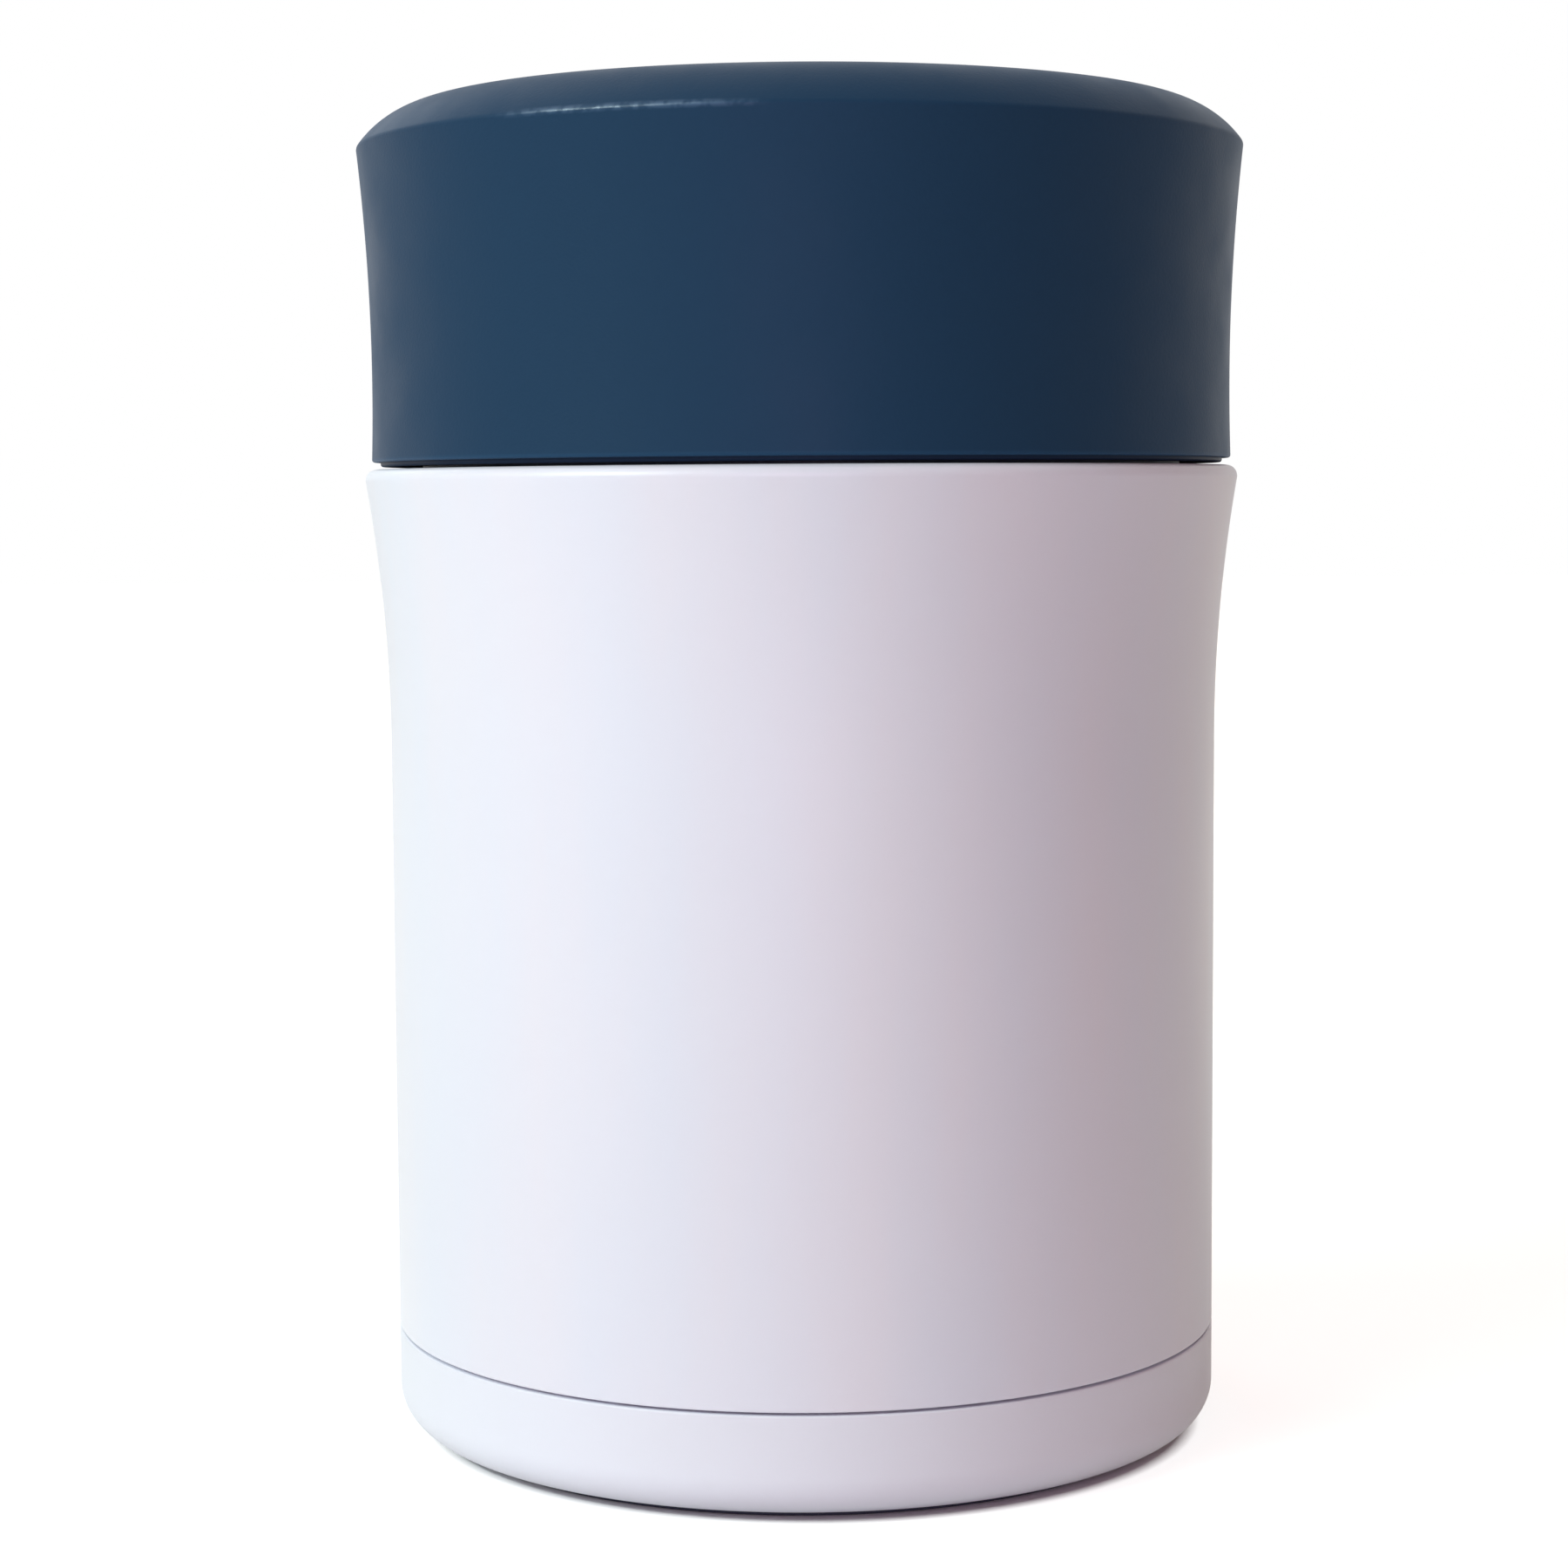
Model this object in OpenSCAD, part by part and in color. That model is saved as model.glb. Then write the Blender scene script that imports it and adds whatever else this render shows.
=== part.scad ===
// Wide-mouth vacuum food jar: a double-walled steel body, a screw-in stopper with
// a vent button, and a tall screw lid whose lining serves as a bowl.
// Origin at the centre of the foot, +Z up, millimetres.

/* [Body] */
// Diameter of the straight part of the body
body_d = 93; // [86:0.5:104]
// Height of the shoulder above the table
body_h = 108.6; // [98:0.1:130]
// How far the shoulder stands out past the straight part
shoulder_flare = 2.4; // [1.4:0.1:3.2]
// Height over which the body flares out
flare_h = 30; // [22:1:40]
// Radius of the shoulder's outer edge
shoulder_round = 1.2; // [0.9:0.1:1.8]
// Radius where the shoulder turns up into the neck
neck_round = 0.6; // [0.4:0.1:0.8]
// Height of the rolled bead that holds the collar on the neck
bead_h = 2; // [1.4:0.1:3]
// How far that bead stands out
bead_proud = 0.4; // [0.2:0.1:0.6]
// Thickness of the steel sheet
steel_t = 0.5; // [0.4:0.05:0.7]

/* [Vacuum] */
// Width of the vacuum between the walls
vacuum_gap = 4; // [3:0.25:5]
// Width of the vacuum in the neck
neck_gap = 1.4; // [1:0.1:1.8]
// Height of the vacuum under the inner liner
bottom_gap = 7; // [5.5:0.25:9]
// Radius between the liner's floor and its wall
liner_round = 10; // [6:0.5:14]
// Height over which the liner narrows to its neck
liner_taper_h = 8; // [6:0.5:12]
// Thickness of the radiation foil
foil_t = 0.15; // [0.1:0.05:0.3]
// Height of bare liner above and below the foil
foil_margin = 2; // [1:0.5:6]
// Radius of the flat of the evacuation dimple
dimple_r = 4; // [3.8:0.1:6]
// Depth of the evacuation dimple
dimple_h = 1.4; // [1.2:0.1:2]
// Radius of the evacuation hole
evacuation_r = 0.9; // [0.6:0.1:1.4]
// Radius of the bead that seals the hole
seal_bead_r = 3.2; // [2.4:0.1:3.6]
// Thickness of the bead that seals the hole
seal_bead_t = 0.9; // [0.6:0.1:1.1]
// Distance of the getter from the axis
getter_x = 20; // [14:0.5:24]
// Radius of the getter pellet
getter_r = 5.6; // [4:0.1:6.5]
// Thickness of the getter pellet
getter_t = 2.8; // [2:0.1:3.6]
// Wall of the getter holder
holder_wall = 0.4; // [0.3:0.05:0.6]

/* [Base] */
// Height of the base cap
base_cap_h = 11.15; // [9:0.05:16]
// Radius of the base cap's lower edge
base_round = 4.5; // [3.5:0.25:6]
// Thickness of the base cap's wall
base_wall = 1.8; // [1.4:0.1:2.4]
// Thickness of the base cap's floor
base_floor = 2.2; // [1.8:0.1:3]
// Width of the seam above the base cap
seam_gap = 0.3; // [0.2:0.05:0.8]
// Thickness of the bond under the steel bottom
bond_t = 1.6; // [1.2:0.1:2]
// Outer diameter of the bond ring
bond_d = 62; // [50:1:72]
// Width of the bond ring
bond_w = 9; // [5:0.5:14]
// Thickness of the foot ring
foot_t = 2; // [1.6:0.1:2.4]
// How far the foot ring stands out below the base cap
foot_proud = 0.8; // [0.6:0.1:1.2]
// Width of the foot ring
foot_w = 5; // [3.5:0.5:8]
// Distance from the base cap's rounded edge to the foot ring
foot_inset = 0.6; // [0.4:0.1:2]

/* [Lid] */
// Gap seen between the shoulder and the lid's lower edge
lid_reveal = 0.8; // [0.6:0.05:1.2]
// How far the lid's waist sits inside the shoulder
lid_setback = 0.9; // [0.4:0.1:1.2]
// How far the lid's ridge stands out past its waist
lid_flare = 1.4; // [0.8:0.1:2.2]
// Height of the lid's waist above its lower edge
lid_waist_h = 8.6; // [5:0.1:14]
// Height of the lid's ridge above its lower edge
lid_side_h = 34.5; // [32.5:0.25:42]
// Height of the lid's top above its ridge
lid_dome_h = 4.9; // [4.6:0.1:7]
// Radius of the rounded edge between the ridge and the top
lid_edge_round = 11.5; // [9:0.1:13]
// Wall of the lid's outer skirt
lid_wall = 2; // [1.6:0.1:2.4]
// Roof of the lid's outer part
lid_roof = 1.8; // [1.6:0.1:2.6]
// Depth of the recess in the lid's top
lid_recess = 0.6; // [0.5:0.1:1.2]
// Radius of the recess in the lid's top
lid_recess_r = 33; // [26:0.5:35]
// Radius inside the lid's outer part between wall and roof
lid_inner_round = 3; // [2:0.25:4]
// Thickness of the insulation in the lid
lid_foam_t = 2.6; // [2:0.1:3.4]
// How far the bowl's lip sits inside the lid's waist
lip_setback = 0.8; // [0.6:0.05:1]
// Height of the bowl's lip inside the lid's lower edge
lip_h = 0.8; // [0.6:0.1:1.6]
// Wall of the bowl that lines the lid
bowl_wall = 1.6; // [1.3:0.1:2]
// Radius inside the bowl between wall and floor
bowl_round = 6; // [4:0.25:6.5]
// Rise of the lid thread in one turn
lid_lead = 16; // [12:0.5:18]
// Number of starts of the lid thread
lid_starts = 4; // [3:1:4]
// Depth of the lid thread
lid_thread_depth = 1.3; // [1.1:0.05:1.5]
// Length of each rib in the bowl, in degrees
bowl_rib_turn = 66; // [40:2:80]
// Length of each rib outside the collar, in degrees
collar_rib_turn = 180; // [120:5:200]

/* [Collar] */
// Wall of the collar round the steel neck
collar_wall = 1.8; // [1.6:0.1:2.2]
// Thickness of the seal between collar and steel rim
collar_seal_t = 0.8; // [0.6:0.1:1.2]
// Width of that seal
collar_seal_w = 1.8; // [1.4:0.1:2.1]
// How far the stopper thread's wall sits outside the mouth
collar_step = 1.4; // [1.3:0.05:1.7]
// Chamfer on the collar's edges
collar_edge = 0.8; // [0.5:0.1:1]

/* [Stopper] */
// Rise of the stopper thread in one turn
stopper_lead = 8; // [7:0.5:9]
// Number of starts of the stopper thread
stopper_starts = 2; // [1:1:2]
// Depth of the stopper thread
stopper_thread_depth = 1.1; // [0.9:0.05:1.2]
// Length of each rib on the stopper, in degrees
stopper_rib_turn = 100; // [60:5:120]
// Length of each rib inside the collar, in degrees
mouth_rib_turn = 110; // [60:5:120]
// Depth of the plug below the stopper's flange
plug_depth = 26; // [23:0.5:30]
// Gap between the plug and the mouth
plug_gap = 0.6; // [0.4:0.1:1]
// Wall of the plug
plug_wall = 1.6; // [1.3:0.1:2]
// Radius of the plug's lower edge
plug_round = 3; // [2:0.25:4]
// Thickness of the stopper's flange
flange_t = 2.4; // [2:0.1:3]
// Thickness of the cover on the flange
cover_t = 1.8; // [1.4:0.1:2.2]
// How far the cover's edge sits inside the flange's
cover_inset = 0.9; // [0.4:0.1:1.2]
// Chamfer on the cover's edge
cover_edge = 0.6; // [0.3:0.1:1]
// Depth of the finger recess in the cover
grip_depth = 9; // [7:0.5:11]
// Gap between the cover's rim and the wall of the finger recess
grip_gap = 1.6; // [0.8:0.1:4]
// Width of the grip bar
grip_bar_w = 11; // [8:0.5:14]
// Wall of the hub round the vent button
hub_wall = 2.3; // [1.6:0.1:4]
// Wall of the finger recess
cover_wall = 1.6; // [1.3:0.1:1.8]
// Depth of the rim that centres the cover in the plug
cover_rim_h = 3; // [2:0.25:4]
// Width of the stopper gasket
gasket_w = 1.4; // [1.1:0.1:1.5]
// How far the gasket stands out below the flange
gasket_proud = 1.2; // [0.8:0.1:1.6]
// Depth of the gasket's groove
gasket_groove = 0.6; // [0.4:0.1:1]

/* [Vent] */
// Radius of the vent button
button_r = 8; // [7:0.25:8.5]
// How far the button stands out above the cover
button_proud = 1; // [0.6:0.1:1.4]
// Travel of the button
button_travel = 2.5; // [1.5:0.1:2.6]
// Depth of the button's stop below the cover's top
button_stop = 5.5; // [4.5:0.1:6]
// Width of the ledge that stops the button
button_ledge = 1.4; // [1:0.1:1.8]
// Thickness of the button's lower flange
button_flange_t = 1.2; // [1:0.1:1.6]
// Depth of the finger dish in the button
button_dish = 0.5; // [0.2:0.05:0.8]
// Width of the button's flat rim
button_rim = 1.4; // [0.8:0.1:2]
// Radius of the valve stem
stem_r = 1.8; // [1.5:0.05:2]
// Length of the stem held in the button
stem_hold = 4; // [3:0.25:4.5]
// Radius of the stem's head
stem_head_r = 3.5; // [3:0.1:4]
// Thickness of the stem's head
stem_head_t = 1.2; // [0.8:0.1:1.6]
// Radius of the vent hole
vent_hole_r = 2.6; // [2.3:0.05:3]
// Radius of the valve seal
valve_r = 5.5; // [4.5:0.1:7]
// Thickness of the valve seal
valve_t = 1.6; // [1.2:0.1:2]
// Radius of the well round the valve
well_r = 9; // [8:0.25:10]
// Depth of the well round the valve
well_depth = 3.6; // [3:0.1:4.5]
// Wall of the spring guide
guide_wall = 1.4; // [1:0.1:1.8]
// Mean radius of the spring
spring_r = 3.5; // [3.2:0.05:3.6]
// Diameter of the spring's wire
wire_d = 0.7; // [0.5:0.05:0.8]
// Number of turns of the spring
spring_turns = 6; // [4:1:8]

/* [Clearances] */
// Clearance of pieces that are pressed or bonded together
fit = 0.1; // [0.05:0.05:0.15]
// Clearance of the bowl and the foam in their places
loose_fit = 0.2; // [0.15:0.05:0.3]
// Clearance of pieces that slide or turn
run_gap = 0.3; // [0.25:0.05:0.4]
// Clearance between the crests and roots of the threads
thread_gap = 0.4; // [0.35:0.05:0.5]
// Play between the flanks of closed threads
thread_play = 0.3; // [0.2:0.05:0.4]
// Room above the raised stopper under the lid
head_room = 0.8; // [0.5:0.1:1.4]

/* [Hidden] */

// Fineness of the turned surfaces, of the arcs in their outlines and of the ribs
$fn = 144;
arc_steps = 16;
rib_step = 8;
rib_end_height = 0.4;
rib_end_steps = 2;
rib_root_width = 1.7;
rib_crest_width = 0.8;
rib_depth_in_wall = 0.6;
spring_rings = 8;
spring_sides = 6;

// Radii of the body, the lid and what nests inside the lid, from the outside in
body_r = body_d / 2;
waist_r = body_r + shoulder_flare - lid_setback;
ridge_r = waist_r + lid_flare;
skirt_r = waist_r - lid_wall;
bowl_r = skirt_r - loose_fit;
bowl_bore = bowl_r - bowl_wall;
bowl_rib_r = bowl_bore - lid_thread_depth;
collar_rib_r = bowl_bore - thread_gap;
collar_r = bowl_rib_r - thread_gap;
collar_bore = collar_r - collar_wall;
neck_r = collar_bore - fit;
mouth_r = neck_r - steel_t - neck_gap - steel_t;
mouth_wall_r = mouth_r + collar_step;
mouth_rib_r = mouth_wall_r - stopper_thread_depth;
stopper_rib_r = mouth_wall_r - thread_gap;
stopper_root_r = mouth_rib_r - thread_gap;
plug_r = mouth_r - plug_gap;
plug_bore = plug_r - plug_wall;
flange_r = bowl_rib_r - run_gap - fit;
belly_r = body_r - steel_t - vacuum_gap - steel_t;
lip_r = waist_r - lip_setback;

// Radii of the stopper's cover, from its rim in the plug to the hub round the button
cover_r = flange_r - cover_inset;
rim_out = plug_bore - loose_fit;
rim_in = rim_out - cover_wall;
grip_wall_r = rim_in - grip_gap;
grip_r = grip_wall_r - cover_wall;
button_flange_r = button_r + button_ledge;
hub_bore = button_r + run_gap;
hub_counterbore = button_flange_r + run_gap;
hub_r = hub_counterbore + hub_wall;

// Heights of the base and the body
cap_z = foot_proud;
cap_floor_z = cap_z + base_floor;
cap_top = cap_z + base_cap_h;
plate_z = cap_floor_z + bond_t;
plate_top = plate_z + steel_t;
step_z = cap_top + seam_gap;
spigot_r = body_r - base_wall - fit;
liner_under = plate_top + bottom_gap;
liner_floor = liner_under + steel_t;
taper_top = body_h - vacuum_gap;
taper_z = taper_top - liner_taper_h;

// Heights of the lid, from its top down to the stopper and the neck
lid_low = body_h + lid_reveal;
ridge_z = lid_low + lid_side_h;
lid_top = ridge_z + lid_dome_h;
roof_under = lid_top - lid_recess - lid_roof;
bowl_top = roof_under - loose_fit - lid_foam_t;
bowl_ceiling = bowl_top - bowl_wall;
bowl_rim_z = body_h + run_gap;
lip_z = lid_low + lip_h;
button_top = bowl_ceiling - head_room - stopper_lead;
cover_top = button_top - button_proud;
flange_top = cover_top - cover_t;
flange_low = flange_top - flange_t;
collar_top = flange_low - gasket_proud;

// Heights of the threads, closed with a little play between the flanks that hold
function flank_offset(depth) =
    rib_crest_width
    + (rib_root_width - rib_crest_width) * (depth - thread_gap) / (depth + rib_depth_in_wall) / 2
    + thread_play;
rib_half = rib_root_width / 2;
bowl_rib_z = bowl_rim_z + rib_half + run_gap;
collar_rib_z = bowl_rib_z + flank_offset(lid_thread_depth);
mouth_rib_rise = stopper_lead * mouth_rib_turn / 360;
mouth_rib_z = collar_top - collar_edge - rib_half - mouth_rib_rise;
stopper_rib_z = mouth_rib_z - flank_offset(stopper_thread_depth);
ledge_z = stopper_rib_z - rib_half - thread_gap;
rim_z = ledge_z - collar_seal_t;
neck_top = rim_z - steel_t;
bead_z = (body_h + neck_top) / 2;

// Heights of the stopper and the vent
plug_z = flange_low - plug_depth;
plug_floor = plug_z + plug_wall;
well_z = plug_z + well_depth;
well_top = well_z + plug_wall;
grip_z = cover_top - grip_depth;
stop_z = cover_top - button_stop;
button_low = stop_z - button_flange_t;
guide_r = spring_r + wire_d / 2 + 2 * run_gap;
guide_top = button_low - button_travel;
valve_z = well_z - valve_t;

// Gasket and foot ring between their walls
gasket_in = mouth_wall_r + run_gap;
gasket_out = gasket_in + gasket_w;
foot_out = body_r - base_round - foot_inset;
foot_in = foot_out - foot_w;

// Flare of the body: an arc tangent to the straight part and to the shoulder's edge
flare_reach = flare_h - shoulder_round;
flare_round = (shoulder_flare ^ 2 + flare_reach ^ 2) / (2 * shoulder_flare) - shoulder_round;
flare_angle = asin(flare_reach / (flare_round + shoulder_round));

// Side of the lid: an arc through the waist and the ridge
lid_rise = lid_side_h - lid_waist_h;
lid_side_round = (lid_flare ^ 2 + lid_rise ^ 2) / (2 * lid_flare);
lid_edge_z = lid_top - lid_edge_round;
lid_edge_angle = asin((ridge_z - lid_edge_z) / lid_edge_round);
lid_edge_r = ridge_r - lid_edge_round * cos(lid_edge_angle);

function arc(centre, radius, from, to) = [
    for (i = [0:arc_steps])
        let (a = from + (to - from) * i / arc_steps)
        centre + radius * [cos(a), sin(a)]
];

function flip(points) = [for (i = [len(points) - 1:-1:0]) points[i]];

// Outline of the outer shell, moved inwards by a part of its thickness
function shell_side(inset) = concat(
    [
        [spigot_r - inset, plate_top],
        [spigot_r - inset, step_z + inset]
    ],
    [[body_r - inset, step_z + inset]],
    arc([body_r + flare_round, body_h - flare_h], flare_round + inset, 180, 180 - flare_angle),
    arc([body_r + shoulder_flare - shoulder_round, body_h - shoulder_round],
        shoulder_round - inset, -flare_angle, 90),
    arc([neck_r + neck_round, body_h + neck_round], neck_round + inset, 270, 180),
    neck_side(neck_r - inset, neck_top)
);

// Neck wall with the rolled bead that the collar snaps over
function neck_side(radius, top) = [
    [radius, bead_z - bead_h / 2],
    [radius + bead_proud, bead_z - bead_h / 4],
    [radius + bead_proud, bead_z + bead_h / 4],
    [radius, bead_z + bead_h / 2],
    [radius, top]
];

// Outline of the inner liner, moved outwards by a part of its thickness
function liner_side(outset) = concat(
    [[0, liner_floor - outset]],
    arc([belly_r - liner_round, liner_floor + liner_round], liner_round + outset, 270, 360),
    [
        for (i = [0:arc_steps])
            let (share = i / arc_steps)
            [
                mouth_r + outset + (belly_r - mouth_r) * (1 + cos(180 * share)) / 2,
                taper_z + liner_taper_h * share
            ]
    ]
);

module turned(points) {
    rotate_extrude()
        polygon(points);
}

module ring(inner, outer, low, high) {
    turned([[inner, low], [outer, low], [outer, high], [inner, high]]);
}

// Side faces and end faces of a tube made of rings of points
function tube_faces(rings, sides) = concat(
    [
        for (i = [0:rings - 2], j = [0:sides - 1], half = [0, 1])
            let (
                a = i * sides + j,
                b = i * sides + (j + 1) % sides
            )
            half == 0 ? [a, b, b + sides] : [a, b + sides, a + sides]
    ],
    [for (j = [1:sides - 2]) [0, j + 1, j]],
    [for (j = [1:sides - 2]) [0, j, j + 1] + (rings - 1) * sides * [1, 1, 1]]
);

// One thread rib on a round wall: outwards if the crest is wider than the wall
module rib(wall_r, crest_r, lead, turn, low) {
    way = sign(crest_r - wall_r);
    steps = ceil(turn / rib_step);
    points = [
        for (i = [0:steps])
            let (
                angle = turn * i / steps,
                run = min(i, steps - i) / rib_end_steps,
                height = min(1, rib_end_height + run * (1 - rib_end_height)),
                crest = wall_r + (crest_r - wall_r) * height,
                root = wall_r - way * rib_depth_in_wall
            )
            for (corner = [
                [root, -rib_root_width],
                [crest, -rib_crest_width],
                [crest, rib_crest_width],
                [root, rib_root_width]
            ])
                [
                    corner[0] * cos(angle),
                    corner[0] * sin(angle),
                    low + lead * angle / 360 + way * corner[1] / 2
                ]
    ];
    polyhedron(points, tube_faces(steps + 1, 4));
}

module ribs(starts, wall_r, crest_r, lead, turn, low) {
    for (k = [0:starts - 1])
        rotate(360 * k / starts)
            rib(wall_r, crest_r, lead, turn, low);
}

// Painted steel outer wall with its shoulder and neck
module outer_shell() {
    color("#e4e3ec")
        turned(concat(shell_side(0), flip(shell_side(steel_t))));
}

// Bare steel vessel, with its rim turned out over the neck
module inner_liner() {
    color("#c9ccd0")
        turned(concat(
            liner_side(0),
            [
                [mouth_r, rim_z],
                [neck_r, rim_z],
                [neck_r, neck_top],
                [mouth_r + steel_t, neck_top]
            ],
            flip(liner_side(steel_t))
        ));
}

// Steel plate that closes the outer shell, with the evacuation dimple
module outer_bottom() {
    dimple_side = [
        [evacuation_r, plate_z + dimple_h],
        [dimple_r, plate_z + dimple_h],
        [dimple_r + dimple_h, plate_z],
        [spigot_r, plate_z]
    ];
    color("#b9bcc0")
        turned(concat(dimple_side, flip([for (p = dimple_side) p + [0, steel_t]])));
}

// Bead that plugs the evacuation hole
module evacuation_seal() {
    bead_top = plate_z + dimple_h;
    color("#7d7466")
        turned([
            [0, bead_top - seal_bead_t],
            [seal_bead_r - seal_bead_t / 2, bead_top - seal_bead_t],
            [seal_bead_r, bead_top - seal_bead_t / 2],
            [seal_bead_r, bead_top],
            [evacuation_r, bead_top],
            [evacuation_r, bead_top + steel_t],
            [0, bead_top + steel_t]
        ]);
}

// Reflecting foil wrapped round the liner inside the vacuum
module radiation_foil() {
    foil_r = belly_r + steel_t + fit;
    color("#cfd2d6")
        ring(foil_r, foil_r + foil_t, liner_floor + liner_round + foil_margin, taper_z - foil_margin);
}

// Cup under the liner that holds the getter
module getter_holder() {
    low = liner_under - holder_wall - getter_t - fit;
    bore = getter_r + fit;
    color("#9a9da1")
        translate([getter_x, 0, 0])
            turned([
                [bore, low],
                [bore + holder_wall, low],
                [bore + holder_wall, liner_under],
                [0, liner_under],
                [0, liner_under - holder_wall],
                [bore, liner_under - holder_wall]
            ]);
}

// Pellet that takes up the last gas in the vacuum
module getter_pellet() {
    color("#4b4b4d")
        translate([getter_x, 0, liner_under - holder_wall - getter_t])
            cylinder(r = getter_r, h = getter_t);
}

// Moulded collar on the steel neck: threaded outside for the lid, inside for the stopper
module neck_collar() {
    foot = neck_round + fit;
    color("#26384f") {
        turned(concat(
            [
                [collar_bore + foot, body_h],
                [collar_r, body_h],
                [collar_r, collar_top - collar_edge],
                [collar_r - collar_edge, collar_top],
                [mouth_wall_r + collar_edge / 2, collar_top],
                [mouth_wall_r, collar_top - collar_edge / 2],
                [mouth_wall_r, ledge_z]
            ],
            flip(neck_side(collar_bore, ledge_z)),
            [[collar_bore, body_h + foot]]
        ));
        ribs(lid_starts, collar_r, collar_rib_r, lid_lead, collar_rib_turn, collar_rib_z);
        ribs(stopper_starts, mouth_wall_r, mouth_rib_r, stopper_lead, mouth_rib_turn, mouth_rib_z);
    }
}

// Soft ring between the steel rim and the collar
module collar_seal() {
    color("#d9dcdc")
        ring(neck_r - collar_seal_w, neck_r, rim_z, ledge_z);
}

// Moulded cap over the bottom of the steel body
module base_cap() {
    bore = body_r - base_wall;
    color("#e6e5ec")
        turned(concat(
            [[bore, cap_top], [body_r, cap_top]],
            arc([body_r - base_round, cap_z + base_round], base_round, 0, -90),
            [
                [foot_out + fit, cap_z],
                [foot_out + fit, foot_t],
                [foot_in - fit, foot_t],
                [foot_in - fit, cap_z],
                [0, cap_z],
                [0, cap_floor_z]
            ],
            arc([bore - bond_t, cap_floor_z + bond_t], bond_t, -90, 0)
        ));
}

// Elastic bond between the base cap and the steel bottom
module base_bond() {
    color("#8f9296")
        ring(bond_d / 2 - bond_w, bond_d / 2, cap_floor_z, plate_z);
}

// Soft ring that the jar stands on
module foot_ring() {
    edge = foot_proud / 2;
    color("#1f2124")
        turned([
            [foot_in + edge, 0],
            [foot_out - edge, 0],
            [foot_out, edge],
            [foot_out, foot_t],
            [foot_in, foot_t],
            [foot_in, edge]
        ]);
}

// Foam disc between the bowl and the lid's roof
module lid_insulation() {
    color("#efe7d2")
        translate([0, 0, bowl_top])
            cylinder(r = bowl_bore - bowl_round - loose_fit, h = lid_foam_t);
}

// Outer part of the lid, with its ridge and rounded top edge
module lid_shell() {
    low_angle = asin(lid_waist_h / lid_side_round);
    high_angle = asin(lid_rise / lid_side_round);
    color("#24405a")
        turned(concat(
            arc([waist_r + lid_side_round, lid_low + lid_waist_h], lid_side_round,
                180 + low_angle, 180 - high_angle),
            arc([lid_edge_r, lid_edge_z], lid_edge_round, lid_edge_angle, 90),
            [
                [lid_recess_r + lid_recess, lid_top],
                [lid_recess_r, lid_top - lid_recess],
                [0, lid_top - lid_recess],
                [0, roof_under]
            ],
            arc([skirt_r - lid_inner_round, roof_under - lid_inner_round], lid_inner_round, 90, 0),
            [
                [skirt_r, lip_z],
                [lip_r + fit, lip_z],
                [lip_r + fit, lid_low]
            ]
        ));
}

// Lining of the lid, which is a bowl when turned over, with the lid's thread
module lid_bowl() {
    corner = [bowl_bore - bowl_round, bowl_ceiling - bowl_round];
    color("#1b2c3f") {
        turned(concat(
            [
                [bowl_bore, bowl_rim_z],
                [lip_r, bowl_rim_z],
                [lip_r, lip_z],
                [bowl_r, lip_z]
            ],
            arc(corner, bowl_round + bowl_wall, 0, 90),
            [[0, bowl_top], [0, bowl_ceiling]],
            arc(corner, bowl_round, 90, 0)
        ));
        ribs(lid_starts, bowl_bore, bowl_rib_r, lid_lead, bowl_rib_turn, bowl_rib_z);
    }
}

// Foam ring inside the stopper
module stopper_insulation() {
    color("#efe7d2")
        ring(well_r + plug_wall + loose_fit, plug_bore - loose_fit,
            plug_floor, grip_z - cover_wall - loose_fit);
}

// Hollow plug with its flange, its thread, the valve's well and the spring guide, which stops the button
module stopper_body() {
    color("#dfe0e2") {
        turned(concat(
            [
                [vent_hole_r, well_z],
                [well_r, well_z],
                [well_r, plug_z]
            ],
            arc([plug_r - plug_round, plug_z + plug_round], plug_round, -90, 0),
            [
                [plug_r, ledge_z - thread_gap],
                [stopper_root_r, ledge_z],
                [stopper_root_r, flange_low],
                [gasket_in - fit, flange_low],
                [gasket_in - fit, flange_low + gasket_groove],
                [gasket_out + fit, flange_low + gasket_groove],
                [gasket_out + fit, flange_low],
                [flange_r, flange_low],
                [flange_r, flange_top],
                [plug_bore, flange_top],
                [plug_bore, plug_floor],
                [well_r + plug_wall, plug_floor],
                [well_r + plug_wall, well_top],
                [guide_r + guide_wall, well_top],
                [guide_r + guide_wall, guide_top],
                [guide_r, guide_top],
                [guide_r, well_top],
                [vent_hole_r, well_top]
            ]
        ));
        ribs(stopper_starts, stopper_root_r, stopper_rib_r, stopper_lead, stopper_rib_turn,
            stopper_rib_z);
    }
}

// Cover of the stopper: finger recess, grip bar and the hub round the button
module stopper_cover() {
    color("#c9ccd1")
        difference() {
            union() {
                turned([
                    [0, cover_top],
                    [hub_r, cover_top],
                    [hub_r, grip_z],
                    [grip_r, grip_z],
                    [grip_r, cover_top],
                    [cover_r - cover_edge, cover_top],
                    [cover_r, cover_top - cover_edge],
                    [cover_r, flange_top],
                    [rim_out, flange_top],
                    [rim_out, flange_top - cover_rim_h],
                    [rim_in, flange_top - cover_rim_h],
                    [rim_in, flange_top],
                    [grip_wall_r, flange_top],
                    [grip_wall_r, grip_z - cover_wall],
                    [0, grip_z - cover_wall]
                ]);
                grip_bar(grip_bar_w, hub_r - cover_wall, cover_top);
            }
            grip_bar(grip_bar_w - 2 * cover_wall, hub_r + cover_wall, cover_top - cover_wall);
            translate([0, 0, stop_z])
                cylinder(r = hub_bore, h = button_stop + cover_wall);
            translate([0, 0, stop_z - grip_depth])
                cylinder(r = hub_counterbore, h = grip_depth);
        }
}

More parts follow.
